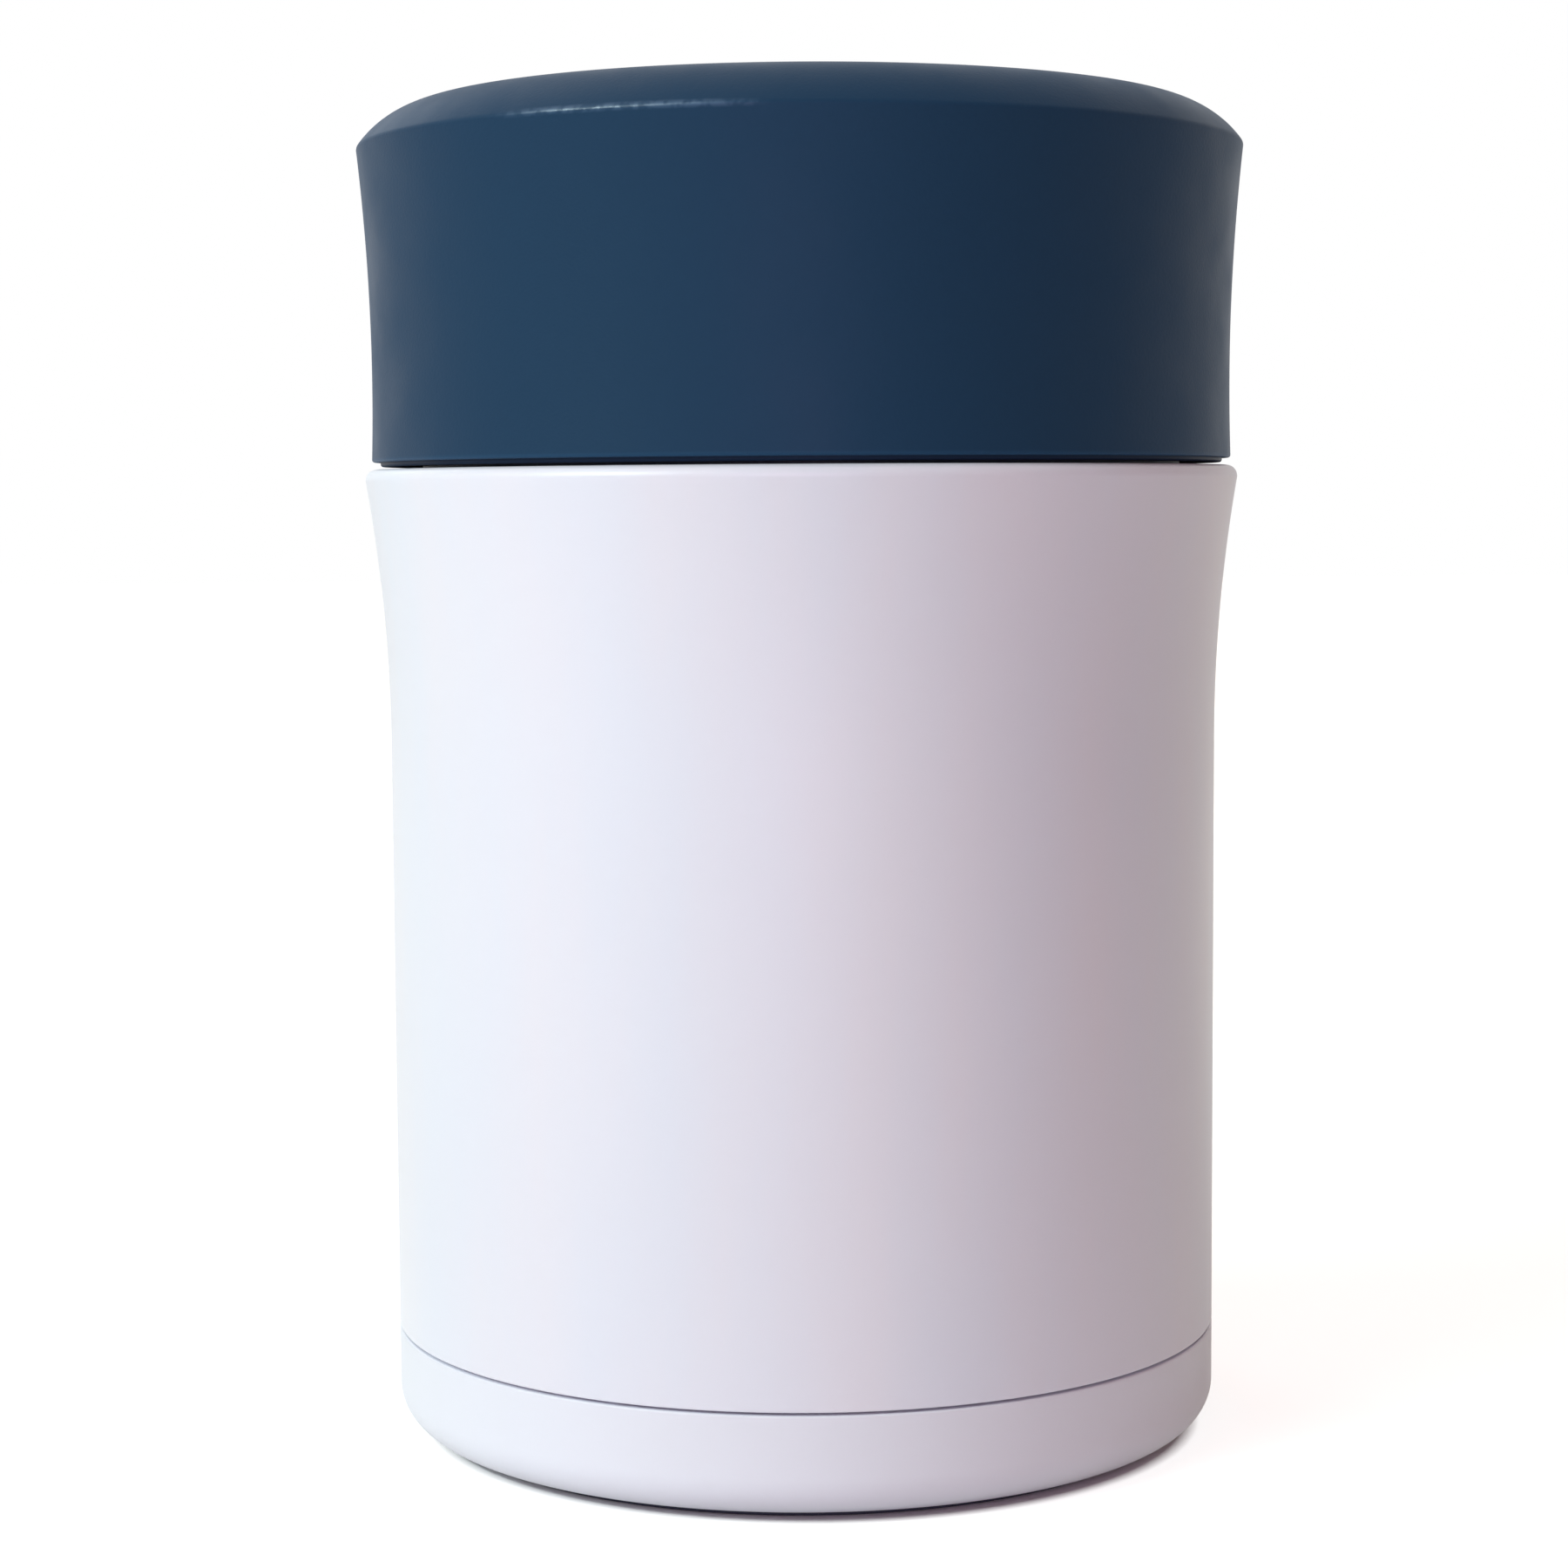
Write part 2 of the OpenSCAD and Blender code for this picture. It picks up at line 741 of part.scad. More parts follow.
// Bar across the finger recess on both sides of the hub
module grip_bar(width, from, top) {
    low = grip_z - cover_wall;
    reach = grip_r + cover_wall / 2 - from;
    for (side = [0, 180])
        rotate(side)
            translate([from, -width / 2, low])
                cube([reach, width, top - low]);
}

// Soft ring under the stopper's flange
module stopper_gasket() {
    color("#d5dadb")
        ring(gasket_in, gasket_out, collar_top, flange_low + gasket_groove);
}

// Points along the middle of the spring's wire
spring_low = well_top + wire_d / 2;
spring_rise = button_low - well_top - wire_d;
spring_steps = spring_turns * spring_rings;
spring_line = [
    for (i = [0:spring_steps])
        let (angle = 360 * i / spring_rings)
        [spring_r * cos(angle), spring_r * sin(angle), spring_low + spring_rise * i / spring_steps]
];

// Spring that lifts the vent button
module vent_spring() {
    points = [
        for (i = [0:spring_steps], j = [0:spring_sides - 1])
            let (
                angle = 360 * i / spring_rings,
                way = 360 * j / spring_sides,
                out = wire_d / 2 * cos(way)
            )
            spring_line[i] + [out * cos(angle), out * sin(angle), wire_d / 2 * sin(way)]
    ];
    gaps = [
        for (i = [0:spring_steps - spring_rings / 2], j = [i + spring_rings / 2:spring_steps])
            norm(spring_line[i] - spring_line[j]) - wire_d
    ];
    echo(least_gap_between_spring_turns = min(gaps));
    color("#b4b7ba")
        polyhedron(points, tube_faces(spring_steps + 1, spring_sides));
}

// Push button in the middle of the stopper
module vent_button() {
    bore = stem_r + fit;
    edge = button_proud / 2;
    color("#2c4a68")
        turned([
            [0, button_low + stem_hold],
            [bore, button_low + stem_hold],
            [bore, button_low],
            [button_flange_r, button_low],
            [button_flange_r, stop_z],
            [button_r, stop_z],
            [button_r, button_top - edge],
            [button_r - edge, button_top],
            [button_r - button_rim, button_top],
            [button_r / 2, button_top - button_dish],
            [0, button_top - button_dish]
        ]);
}

// Stem of the valve, pressed into the button, with a head that carries the seal
module vent_stem() {
    color("#c8cacd")
        turned([
            [0, valve_z - stem_head_t],
            [stem_head_r, valve_z - stem_head_t],
            [stem_head_r, valve_z],
            [stem_r, valve_z],
            [stem_r, button_low + stem_hold],
            [0, button_low + stem_hold]
        ]);
}

// Soft seal that closes the vent hole from below
module vent_valve() {
    color("#d5dadb")
        ring(stem_r + fit, valve_r, valve_z, well_z);
}

outer_shell();
inner_liner();
outer_bottom();
evacuation_seal();
radiation_foil();
getter_holder();
getter_pellet();
neck_collar();
collar_seal();
base_cap();
base_bond();
foot_ring();
lid_insulation();
lid_shell();
lid_bowl();
stopper_insulation();
stopper_body();
stopper_cover();
stopper_gasket();
vent_spring();
vent_button();
vent_stem();
vent_valve();
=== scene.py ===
"""Looks of a wide-mouth vacuum food jar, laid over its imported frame.

The pieces that show are made again with fine edges and smooth threads, and every piece gets a
procedural finish. Lengths are metres, +Z is up and the origin is the centre of the foot.
"""
import logging
import math
from dataclasses import dataclass
from enum import Enum

import bmesh
import bpy
from mathutils import Matrix, Vector


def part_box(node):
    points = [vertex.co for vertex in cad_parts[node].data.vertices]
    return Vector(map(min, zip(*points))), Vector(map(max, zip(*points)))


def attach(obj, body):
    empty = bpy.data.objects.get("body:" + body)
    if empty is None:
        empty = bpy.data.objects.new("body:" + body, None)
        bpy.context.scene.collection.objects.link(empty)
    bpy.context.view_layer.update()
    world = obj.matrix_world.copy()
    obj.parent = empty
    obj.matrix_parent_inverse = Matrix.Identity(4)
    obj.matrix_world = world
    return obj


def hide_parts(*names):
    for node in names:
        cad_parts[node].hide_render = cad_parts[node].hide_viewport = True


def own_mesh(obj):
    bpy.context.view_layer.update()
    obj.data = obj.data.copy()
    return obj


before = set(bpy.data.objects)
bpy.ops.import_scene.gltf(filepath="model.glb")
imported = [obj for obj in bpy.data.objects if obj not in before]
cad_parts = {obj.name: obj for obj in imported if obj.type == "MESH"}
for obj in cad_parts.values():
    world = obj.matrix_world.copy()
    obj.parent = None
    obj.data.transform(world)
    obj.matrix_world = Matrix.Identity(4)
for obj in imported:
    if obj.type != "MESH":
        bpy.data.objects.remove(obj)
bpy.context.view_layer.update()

log = logging.getLogger("food_jar")

Colour = tuple[float, float, float, float]  # linear red, green, blue and alpha
Place = tuple[float, float, float]  # x, y and z
Shares = tuple[float, float, float]  # a share for each axis, or of red, green and blue
Point = tuple[float, float]  # distance from the axis, and height
Pair = tuple[float, float]  # both ends of a range, or width and height
Mesh = bmesh.types.BMesh
Socket = bpy.types.NodeSocket

MM = 0.001
FULL_TURN = 360.0  # in degrees
QUARTER = 90.0  # in degrees
ORIGIN: Place = (0.0, 0.0, 0.0)
UP: Place = (0.0, 0.0, 1.0)
WHITE: Colour = (1.0, 1.0, 1.0, 1.0)
SHARP_ANGLE = 32.0  # angle between faces above which their edge is shaded sharp, in degrees
MERGE_GAP = 0.001 * MM  # distance within which points are one
ROUND_PROFILE = 0.5  # profile of a bevel that follows a circle
ON_AXIS = 1e-6 * MM  # distance from the axis within which a point lies on it
LID_DOME_H = 4.9 * MM  # height of the lid's top above its ridge
BUTTON_TRAVEL = 2.5 * MM  # how far the vent's button is pressed in


class Body(Enum):
    """Bodies of the frame that carry rebuilt pieces."""

    JAR = "jar"
    LID = "lid"
    STOPPER = "stopper"
    VENT = "vent"


class Slot(Enum):
    """Material slots of the record."""

    BODY_PAINT = "body_paint"
    BARE_STEEL = "bare_steel"
    FOIL = "foil"
    SEAL_BEAD = "seal_bead"
    GETTER = "getter"
    COLLAR_PLASTIC = "collar_plastic"
    SILICONE = "silicone"
    BASE_PLASTIC = "base_plastic"
    BOND = "bond"
    FOOT_RUBBER = "foot_rubber"
    FOAM = "foam"
    LID_PLASTIC = "lid_plastic"
    BOWL_PLASTIC = "bowl_plastic"
    STOPPER_PLASTIC = "stopper_plastic"
    COVER_PLASTIC = "cover_plastic"
    BUTTON_PLASTIC = "button_plastic"
    SPRING_STEEL = "spring_steel"


class Fineness(Enum):
    """Steps round the axis for a turned piece."""

    LARGE = 240
    MIDDLE = 160
    SMALL = 72


class Detail(Enum):
    """Finer octaves in a noise."""

    PLAIN = 1.0
    SOFT = 2.0
    CLOUDY = 3.0
    RICH = 4.0
    DUSTY = 5.0


class Facing(Enum):
    """Side of a round wall on which its thread stands."""

    OUTWARDS = 1
    INWARDS = -1


def linear(hex_colour: str) -> Colour:
    """Turns a display colour into the linear colour that shaders take.

    Args:
        hex_colour: six hexadecimal digits.

    Returns:
        Linear red, green, blue and full alpha.
    """
    parts = [int(hex_colour[i:i + 2], 16) / 255 for i in (0, 2, 4)]
    lit = [c / 12.92 if c <= 0.04045 else ((c + 0.055) / 1.055) ** 2.4 for c in parts]
    return (*lit, 1.0)


def smooth_step(share: float) -> float:
    """Eases a share in and out between 0 and 1."""
    kept = min(1.0, max(0.0, share))
    return kept * kept * (3 - 2 * kept)


def bow_radius(offset: float, rise: float) -> float:
    """Radius of an arc that starts upright and has moved aside by an offset after a rise."""
    return (offset ** 2 + rise ** 2) / (2 * offset)


def low_of(node: str) -> float:
    """Lowest height of a CAD node."""
    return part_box(node)[0].z


def top_of(node: str) -> float:
    """Highest height of a CAD node."""
    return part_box(node)[1].z


def reach(node: str) -> float:
    """Outer radius of a round CAD node on the jar's axis."""
    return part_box(node)[1].x


class NodeGraph:
    """Node tree that is filled by short calls."""

    def __init__(self, tree: bpy.types.NodeTree) -> None:
        """Works on a node tree."""
        self.tree = tree

    def feed(self, socket: Socket, value: object) -> None:
        """Sets an input socket or links it.

        Args:
            socket: the input.
            value: a constant, or an output socket to link.
        """
        if isinstance(value, Socket):
            self.tree.links.new(value, socket)
        else:
            socket.default_value = value

    def add(self, kind: str, inputs: dict[str, object]) -> bpy.types.Node:
        """Adds a node.

        Args:
            kind: type name of the node.
            inputs: value or source socket for each named input.

        Returns:
            The new node.
        """
        node = self.tree.nodes.new(kind)
        for name, value in inputs.items():
            self.feed(node.inputs[name], value)
        return node

    def work_out(self, kind: str, operation: str, *values: object) -> Socket:
        """Adds a node that works on its inputs in order.

        Args:
            kind: type name of the node.
            operation: name of the operation.
            values: value or source socket for each input.

        Returns:
            The result.
        """
        node = self.tree.nodes.new(kind)
        node.operation = operation
        for socket, value in zip(node.inputs, values):
            self.feed(socket, value)
        return node.outputs["Value"]

    def maths(self, operation: str, *values: object) -> Socket:
        """Adds a calculation on values or sockets."""
        return self.work_out("ShaderNodeMath", operation, *values)

    def seen(self, mirrored: float) -> Socket:
        """Marks what the camera sees directly, in a reflection or through something clear.

        Args:
            mirrored: mark of a ray that is reflected or passes through something clear.

        Returns:
            1 for a direct ray, the given mark for those two and 0 for another.
        """
        path = self.add("ShaderNodeLightPath", {})
        mark = path.outputs["Is Camera Ray"]
        for name in ("Is Glossy Ray", "Is Transmission Ray"):
            mark = self.maths("MULTIPLY_ADD", path.outputs[name], mirrored, mark)
        return mark


class ShaderGraph(NodeGraph):
    """Node tree of one finish on object coordinates."""

    def __init__(self, name: str, base: Colour) -> None:
        """Starts a new material with a surface shader.

        Args:
            name: name of the material.
            base: linear base colour of the finish.
        """
        self.material = bpy.data.materials.new(name)
        self.material.use_nodes = True
        super().__init__(self.material.node_tree)
        self.base = base
        self.surface = next(n for n in self.tree.nodes if n.bl_idname == "ShaderNodeBsdfPrincipled")
        self.place = self.add("ShaderNodeTexCoord", {}).outputs["Object"]

    def set(self, inputs: dict[str, object]) -> None:
        """Feeds named inputs of the surface shader."""
        for name, value in inputs.items():
            self.feed(self.surface.inputs[name], value)

    def source(self, name: str) -> Socket:
        """Gives the output that feeds a named input of the surface shader."""
        return self.surface.inputs[name].links[0].from_socket

    def tone(self, red: float, green: float | None = None, blue: float | None = None) -> Colour:
        """Scales the base colour.

        Args:
            red: share of the red that is kept, and of the others where they aren't given.
            green: share of the green.
            blue: share of the blue.

        Returns:
            The scaled colour.
        """
        shares = (red, red if green is None else green, red if blue is None else blue)
        return (*(part * share for part, share in zip(self.base, shares)), 1.0)

    def noise(self, size: float, detail: Detail, stretch: Shares = (1.0, 1.0, 1.0)) -> Socket:
        """Adds cloudy noise.

        Args:
            size: size of one cloud.
            detail: finer octaves.
            stretch: share of the pattern's fineness kept along each axis.

        Returns:
            The noise from 0 to 1.
        """
        spread = self.add("ShaderNodeMapping", {"Vector": self.place, "Scale": stretch})
        wanted = {"Vector": spread.outputs["Vector"], "Scale": 1.0 / size, "Detail": detail.value}
        return self.add("ShaderNodeTexNoise", wanted).outputs["Fac"]

    def cells(self, size: float) -> Socket:
        """Adds a pattern of cells and gives the distance to each cell's middle."""
        wanted = {"Vector": self.place, "Scale": 1.0 / size}
        return self.add("ShaderNodeTexVoronoi", wanted).outputs["Distance"]

    def ranged(
        self, factor: Socket, low: float, high: float, start: float = 0.3, end: float = 0.7
    ) -> Socket:
        """Maps a pattern to a range of values.

        Args:
            factor: the pattern.
            low: value at the pattern's start and below.
            high: value at the pattern's end and above.
            start: level of the pattern that gives low.
            end: level of the pattern that gives high.

        Returns:
            The mapped value.
        """
        wanted = {"Value": factor, "From Min": start, "From Max": end, "To Min": low, "To Max": high}
        return self.add("ShaderNodeMapRange", wanted).outputs["Result"]

    def around(self, factor: Socket, middle: float, wander: float) -> Socket:
        """Lets a value wander about its middle with a pattern."""
        return self.ranged(factor, middle - wander, middle + wander)

    def near_height(self, z: float, width: float) -> Socket:
        """Marks a band round the jar.

        Args:
            z: height of the band's middle.
            width: half width of the band.

        Returns:
            1 in the band's middle, falling to 0 at its edges.
        """
        height = self.add("ShaderNodeSeparateXYZ", {"Vector": self.place}).outputs["Z"]
        off = self.maths("ABSOLUTE", self.maths("SUBTRACT", height, z))
        return self.ranged(off, 1.0, 0.0, 0.0, width)

    def along(self, way: Place) -> Socket:
        """Measures how far a place lies along a direction that is one long."""
        return self.work_out("ShaderNodeVectorMath", "DOT_PRODUCT", self.place, way)

    def distance(self, point: Place) -> Socket:
        """Measures how far a place lies from a point."""
        return self.work_out("ShaderNodeVectorMath", "DISTANCE", self.place, point)

    def tinted(self, factor: Socket, low: object, high: object) -> Socket:
        """Mixes two colours by a pattern.

        Args:
            factor: the pattern from 0 to 1.
            low: colour or socket at 0.
            high: colour or socket at 1.

        Returns:
            The mixed colour.
        """
        node = self.tree.nodes.new("ShaderNodeMix")
        node.data_type = "RGBA"
        colours = [s for s in node.inputs if s.type == "RGBA"]
        self.feed(node.inputs["Factor"], factor)
        self.feed(colours[0], low)
        self.feed(colours[1], high)
        return next(s for s in node.outputs if s.type == "RGBA")

    def bumped(self, height: Socket, depth: float, under: Socket | None = None) -> Socket:
        """Turns a pattern into relief.

        Args:
            height: the pattern from 0 to 1.
            depth: height of the relief.
            under: relief that this one lies on.

        Returns:
            The surface direction.
        """
        wanted = {"Height": height, "Strength": 1.0, "Distance": depth}
        if under is not None:
            wanted["Normal"] = under
        return self.add("ShaderNodeBump", wanted).outputs["Normal"]


@dataclass(frozen=True)
class Finish:
    """Finish of one material slot."""

    colour: str  # display colour in hexadecimal

    def make(self, name: str) -> bpy.types.Material:
        """Builds the material.

        Args:
            name: name of the material.

        Returns:
            The finished material.
        """
        graph = ShaderGraph(name, linear(self.colour))
        self.lay(graph)
        return graph.material

    def lay(self, graph: ShaderGraph) -> None:
        """Lays the finish on a new material, each kind in its own way."""
        raise NotImplementedError


@dataclass(frozen=True)
class MouldedPlastic(Finish):
    """Injection-moulded plastic with the mould's fine grain."""

    roughness: float = 0.45  # middle roughness of the skin
    grain: float = 0.35 * MM  # size of one grain of the mould
    depth: float = 0.02 * MM  # height of the grain
    mottle: float = 0.04  # share by which the colour wanders
    gloss: float = 0.4  # level of the mirror-like part of the skin
    wander: float = 0.05  # how far the roughness wanders where the piece is handled
    flow: float = 26 * MM  # length of one wave of colour
    touch: float = 9 * MM  # size of one handled patch

    def lay(self, graph: ShaderGraph) -> None:
        """Lays the grained skin.

        Args:
            graph: graph of the new material.
        """
        flow = graph.noise(self.flow, Detail.CLOUDY)
        grain = graph.noise(self.grain, Detail.SOFT)
        handled = graph.noise(self.touch, Detail.RICH)
        graph.set({
            "Base Color": graph.tinted(flow, graph.tone(1 - self.mottle), graph.tone(1 + self.mottle)),
            "Roughness": graph.around(handled, self.roughness, self.wander),
            "Specular IOR Level": self.gloss,
            "Normal": graph.bumped(grain, self.depth),
        })


@dataclass(frozen=True)
class RidgedPlastic(MouldedPlastic):
    """Grained plastic with a stretch of ridge polished in specks and lightened there as a painted glint, and
    a lower edge lightened as a painted highlight.
    """

    ridge_z: float = 0.0  # height of the ridge
    low_z: float = 0.0  # height of the lower edge
    band: float = 0.5 * MM  # half width of a worn band
    polish: float = 0.28  # roughness of the polished specks
    rim_highlight: float = 0.6  # share by which the lower edge is lighter, a painted highlight
    glint_lightening: float = 0.8  # share by which the polished specks are lighter, a painted glint
    speck: float = 1.0 * MM  # length of one polished speck
    speck_low: float = 0.3  # share of the polish that is left between the specks
    speck_edge: Pair = (0.42, 0.58)  # levels of the noise at which a speck starts and is full
    glint_way: Place = (-0.358, -0.934, 0.0)  # direction from the axis to the stretch of ridge that is polished and carries the painted glint
    glint_reach: Pair = (47 * MM, 48.7 * MM)  # how far that way the polish and the painted glint start and are full

    def lay(self, graph: ShaderGraph) -> None:
        """Lays the grained skin, its polished ridge with a painted glint, and the painted highlight on its
        lower edge.

        Args:
            graph: graph of the new material.
        """
        super().lay(graph)
        specks = graph.ranged(graph.noise(self.speck, Detail.PLAIN), self.speck_low, 1.0, *self.speck_edge)
        glint_stretch = graph.ranged(graph.along(self.glint_way), 0.0, 1.0, *self.glint_reach)
        ridge = graph.maths("MULTIPLY", graph.near_height(self.ridge_z, self.band), glint_stretch)
        # polished specks on that stretch of ridge, which also carry the painted glint
        polish_and_glint = graph.maths("MULTIPLY", ridge, specks)
        # painted highlight: a lighter base colour along the lower edge
        low = graph.near_height(self.low_z, self.band)
        rim_highlighted = graph.tinted(low, graph.source("Base Color"), graph.tone(1 + self.rim_highlight))
        # painted glint: the polished specks get a lighter base colour
        graph.set({
            "Base Color": graph.tinted(polish_and_glint, rim_highlighted, graph.tone(1 + self.glint_lightening)),
            "Coat Weight": polish_and_glint,
            "Coat Roughness": self.polish,
        })


@dataclass(frozen=True)
class SatinPaint(Finish):
    """Sprayed satin paint with faint orange peel and faint warm and cool passes of the gun."""

    roughness: float = 0.32  # middle roughness of the paint
    wander: float = 0.03  # how far the roughness wanders
    cloud: float = 40 * MM  # size of one cloud of roughness
    peel: float = 1.4 * MM  # size of one wave of the orange peel
    peel_depth: float = 0.006 * MM  # height of the orange peel
    mist: float = 0.18 * MM  # size of one dried droplet
    mist_depth: float = 0.002 * MM  # height of the droplets
    sweep: float = 12 * MM  # width of one pass of the gun
    sweep_stretch: Shares = (1.0, 1.0, 0.18)  # stretch of the passes along the jar
    cool: Shares = (0.975, 0.99, 1.01)  # shares of red, green and blue in a cool pass
    warm: Shares = (1.015, 0.985, 0.985)  # shares of red, green and blue in a warm pass

    def lay(self, graph: ShaderGraph) -> None:
        """Lays the paint.

        Args:
            graph: graph of the new material.
        """
        cloud = graph.noise(self.cloud, Detail.SOFT)
        sweep = graph.noise(self.sweep, Detail.CLOUDY, self.sweep_stretch)
        coarse = graph.bumped(graph.noise(self.peel, Detail.PLAIN), self.peel_depth)
        mist = graph.noise(self.mist, Detail.PLAIN)
        graph.set({
            "Base Color": graph.tinted(
                graph.ranged(sweep, 0.0, 1.0), graph.tone(*self.cool), graph.tone(*self.warm)
            ),
            "Roughness": graph.around(cloud, self.roughness, self.wander),
            "Normal": graph.bumped(mist, self.mist_depth, coarse),
        })


@dataclass(frozen=True)
class TurnedSteel(Finish):
    """Stainless steel with fine lines that run round the axis."""

    roughness: float = 0.28  # middle roughness of the steel
    wander: float = 0.08  # how far the roughness wanders from line to line
    line: float = 0.12 * MM  # height of one line
    line_stretch: Shares = (0.02, 0.02, 1.0)  # stretch of the lines round the axis
    depth: float = 0.003 * MM  # depth of the lines
    stain: float = 18 * MM  # size of one dull patch
    stained: float = 0.95  # share of light that a dull patch gives back

    def lay(self, graph: ShaderGraph) -> None:
        """Lays the lined steel.

        Args:
            graph: graph of the new material.
        """
        lines = graph.noise(self.line, Detail.SOFT, self.line_stretch)
        stain = graph.noise(self.stain, Detail.CLOUDY)
        graph.set({
            "Base Color": graph.tinted(stain, graph.tone(self.stained), graph.base),
            "Metallic": 1.0,
            "Roughness": graph.around(lines, self.roughness, self.wander),
            "Normal": graph.bumped(lines, self.depth),
        })


@dataclass(frozen=True)
class SoftRubber(Finish):
    """Matt rubber or silicone, a little translucent where it is pale."""

    roughness: float = 0.55  # roughness of the skin
    glow: float = 0.0  # share of the light that travels through the skin
    glow_reach: float = 1 * MM  # how far that light travels
    dust: float = 1.6 * MM  # size of one speck of dust
    dust_edge: Pair = (0.45, 0.8)  # levels of the noise at which a speck starts and is full
    dusted: float = 0.25  # share by which dust is lighter
    worn: float = 0.06  # how much smoother the skin is where it is worn
    dulled: float = 0.1  # how much rougher it is under dust
    skin: float = 0.25 * MM  # size of one grain of the skin
    depth: float = 0.01 * MM  # height of the grain

    def lay(self, graph: ShaderGraph) -> None:
        """Lays the dusty skin.

        Args:
            graph: graph of the new material.
        """
        dust = graph.noise(self.dust, Detail.DUSTY)
        skin = graph.noise(self.skin, Detail.SOFT)
        dusty = graph.ranged(dust, 0.0, 1.0, *self.dust_edge)
        graph.set({
            "Base Color": graph.tinted(dusty, graph.base, graph.tone(1 + self.dusted)),
            "Roughness": graph.ranged(dust, self.roughness - self.worn, self.roughness + self.dulled),
            "Subsurface Weight": self.glow,
            "Subsurface Scale": self.glow_reach,
            "Normal": graph.bumped(skin, self.depth),
        })


@dataclass(frozen=True)
class RigidFoam(Finish):
    """Cast rigid foam with open cells on its skin, darker in each cell's middle as painted shade."""

    cell: float = 0.9 * MM  # size of one cell
    depth: float = 0.25 * MM  # depth of a cell
    pit_light: Pair = (0.82, 1.0)  # share of the plain colour in a cell's middle and outside it
    pit_size: float = 0.4  # distance from a cell's middle at which it ends
    pit_shade_tone: float = 0.6  # share of light that a cell gives back, painted shade in its pit
    patch: float = 8 * MM  # size of one aged patch
    patch_share: float = 0.4  # strength of a patch
    patch_tone: float = 0.85  # share of light that a patch gives back
    roughness: float = 0.9  # roughness of the skin

    def lay(self, graph: ShaderGraph) -> None:
        """Lays the open cells.

        Args:
            graph: graph of the new material.
        """
        cells = graph.cells(self.cell)
        patch = graph.ranged(graph.noise(self.patch, Detail.CLOUDY), 0.0, self.patch_share)
        # painted shade: each cell is darker towards its middle
        pits = graph.ranged(cells, *self.pit_light, 0.0, self.pit_size)
        pit_shaded = graph.tinted(pits, graph.tone(self.pit_shade_tone), graph.base)
        graph.set({
            "Base Color": graph.tinted(patch, pit_shaded, graph.tone(self.patch_tone)),
            "Roughness": self.roughness,
            "Normal": graph.bumped(cells, self.depth),
        })


@dataclass(frozen=True)
class CrinkledFoil(Finish):
    """Bright foil with the creases of its wrapping."""

    crease: float = 5 * MM  # distance between creases
    depth: float = 0.4 * MM  # height of a crease
    rolled: float = 0.4 * MM  # width of one line of the rolling
    rolled_stretch: Shares = (1.0, 1.0, 0.05)  # stretch of those lines along the jar
    rolled_tone: float = 0.93  # share of light that a dark line gives back
    gloss: Pair = (0.16, 0.3)  # roughness of the dark and the pale lines

    def lay(self, graph: ShaderGraph) -> None:
        """Lays the creased foil.

        Args:
            graph: graph of the new material.
        """
        creases = graph.cells(self.crease)
        rolled = graph.noise(self.rolled, Detail.SOFT, self.rolled_stretch)
        graph.set({
            "Base Color": graph.tinted(rolled, graph.tone(self.rolled_tone), graph.base),
            "Metallic": 1.0,
            "Roughness": graph.ranged(rolled, *self.gloss),
            "Normal": graph.bumped(creases, self.depth),
        })


@dataclass(frozen=True)
class PressedPowder(Finish):
    """Sintered or fused grains with a dry skin, lighter in each grain's middle as painted light and darker
    in the gaps as painted shade.
    """

    grain: float = 0.3 * MM  # size of one grain
    depth: float = 0.08 * MM  # depth of the relief
    metal: float = 0.0  # share of metal in the skin
    roughness: float = 0.8  # roughness of the skin
    lit_middle_tone: float = 1.3  # share of light that a grain's middle gives back, painted light
    shaded_gap_tone: float = 0.6  # share of light that the gaps give back, painted shade

    def lay(self, graph: ShaderGraph) -> None:
        """Lays the grains.

        Args:
            graph: graph of the new material.
        """
        grains = graph.cells(self.grain)
        # painted light and shade: grains lighter in the middle, darker in the gaps
        graph.set({
            "Base Color": graph.tinted(grains, graph.tone(self.lit_middle_tone), graph.tone(self.shaded_gap_tone)),
            "Metallic": self.metal,
            "Roughness": self.roughness,
            "Normal": graph.bumped(grains, self.depth),
        })


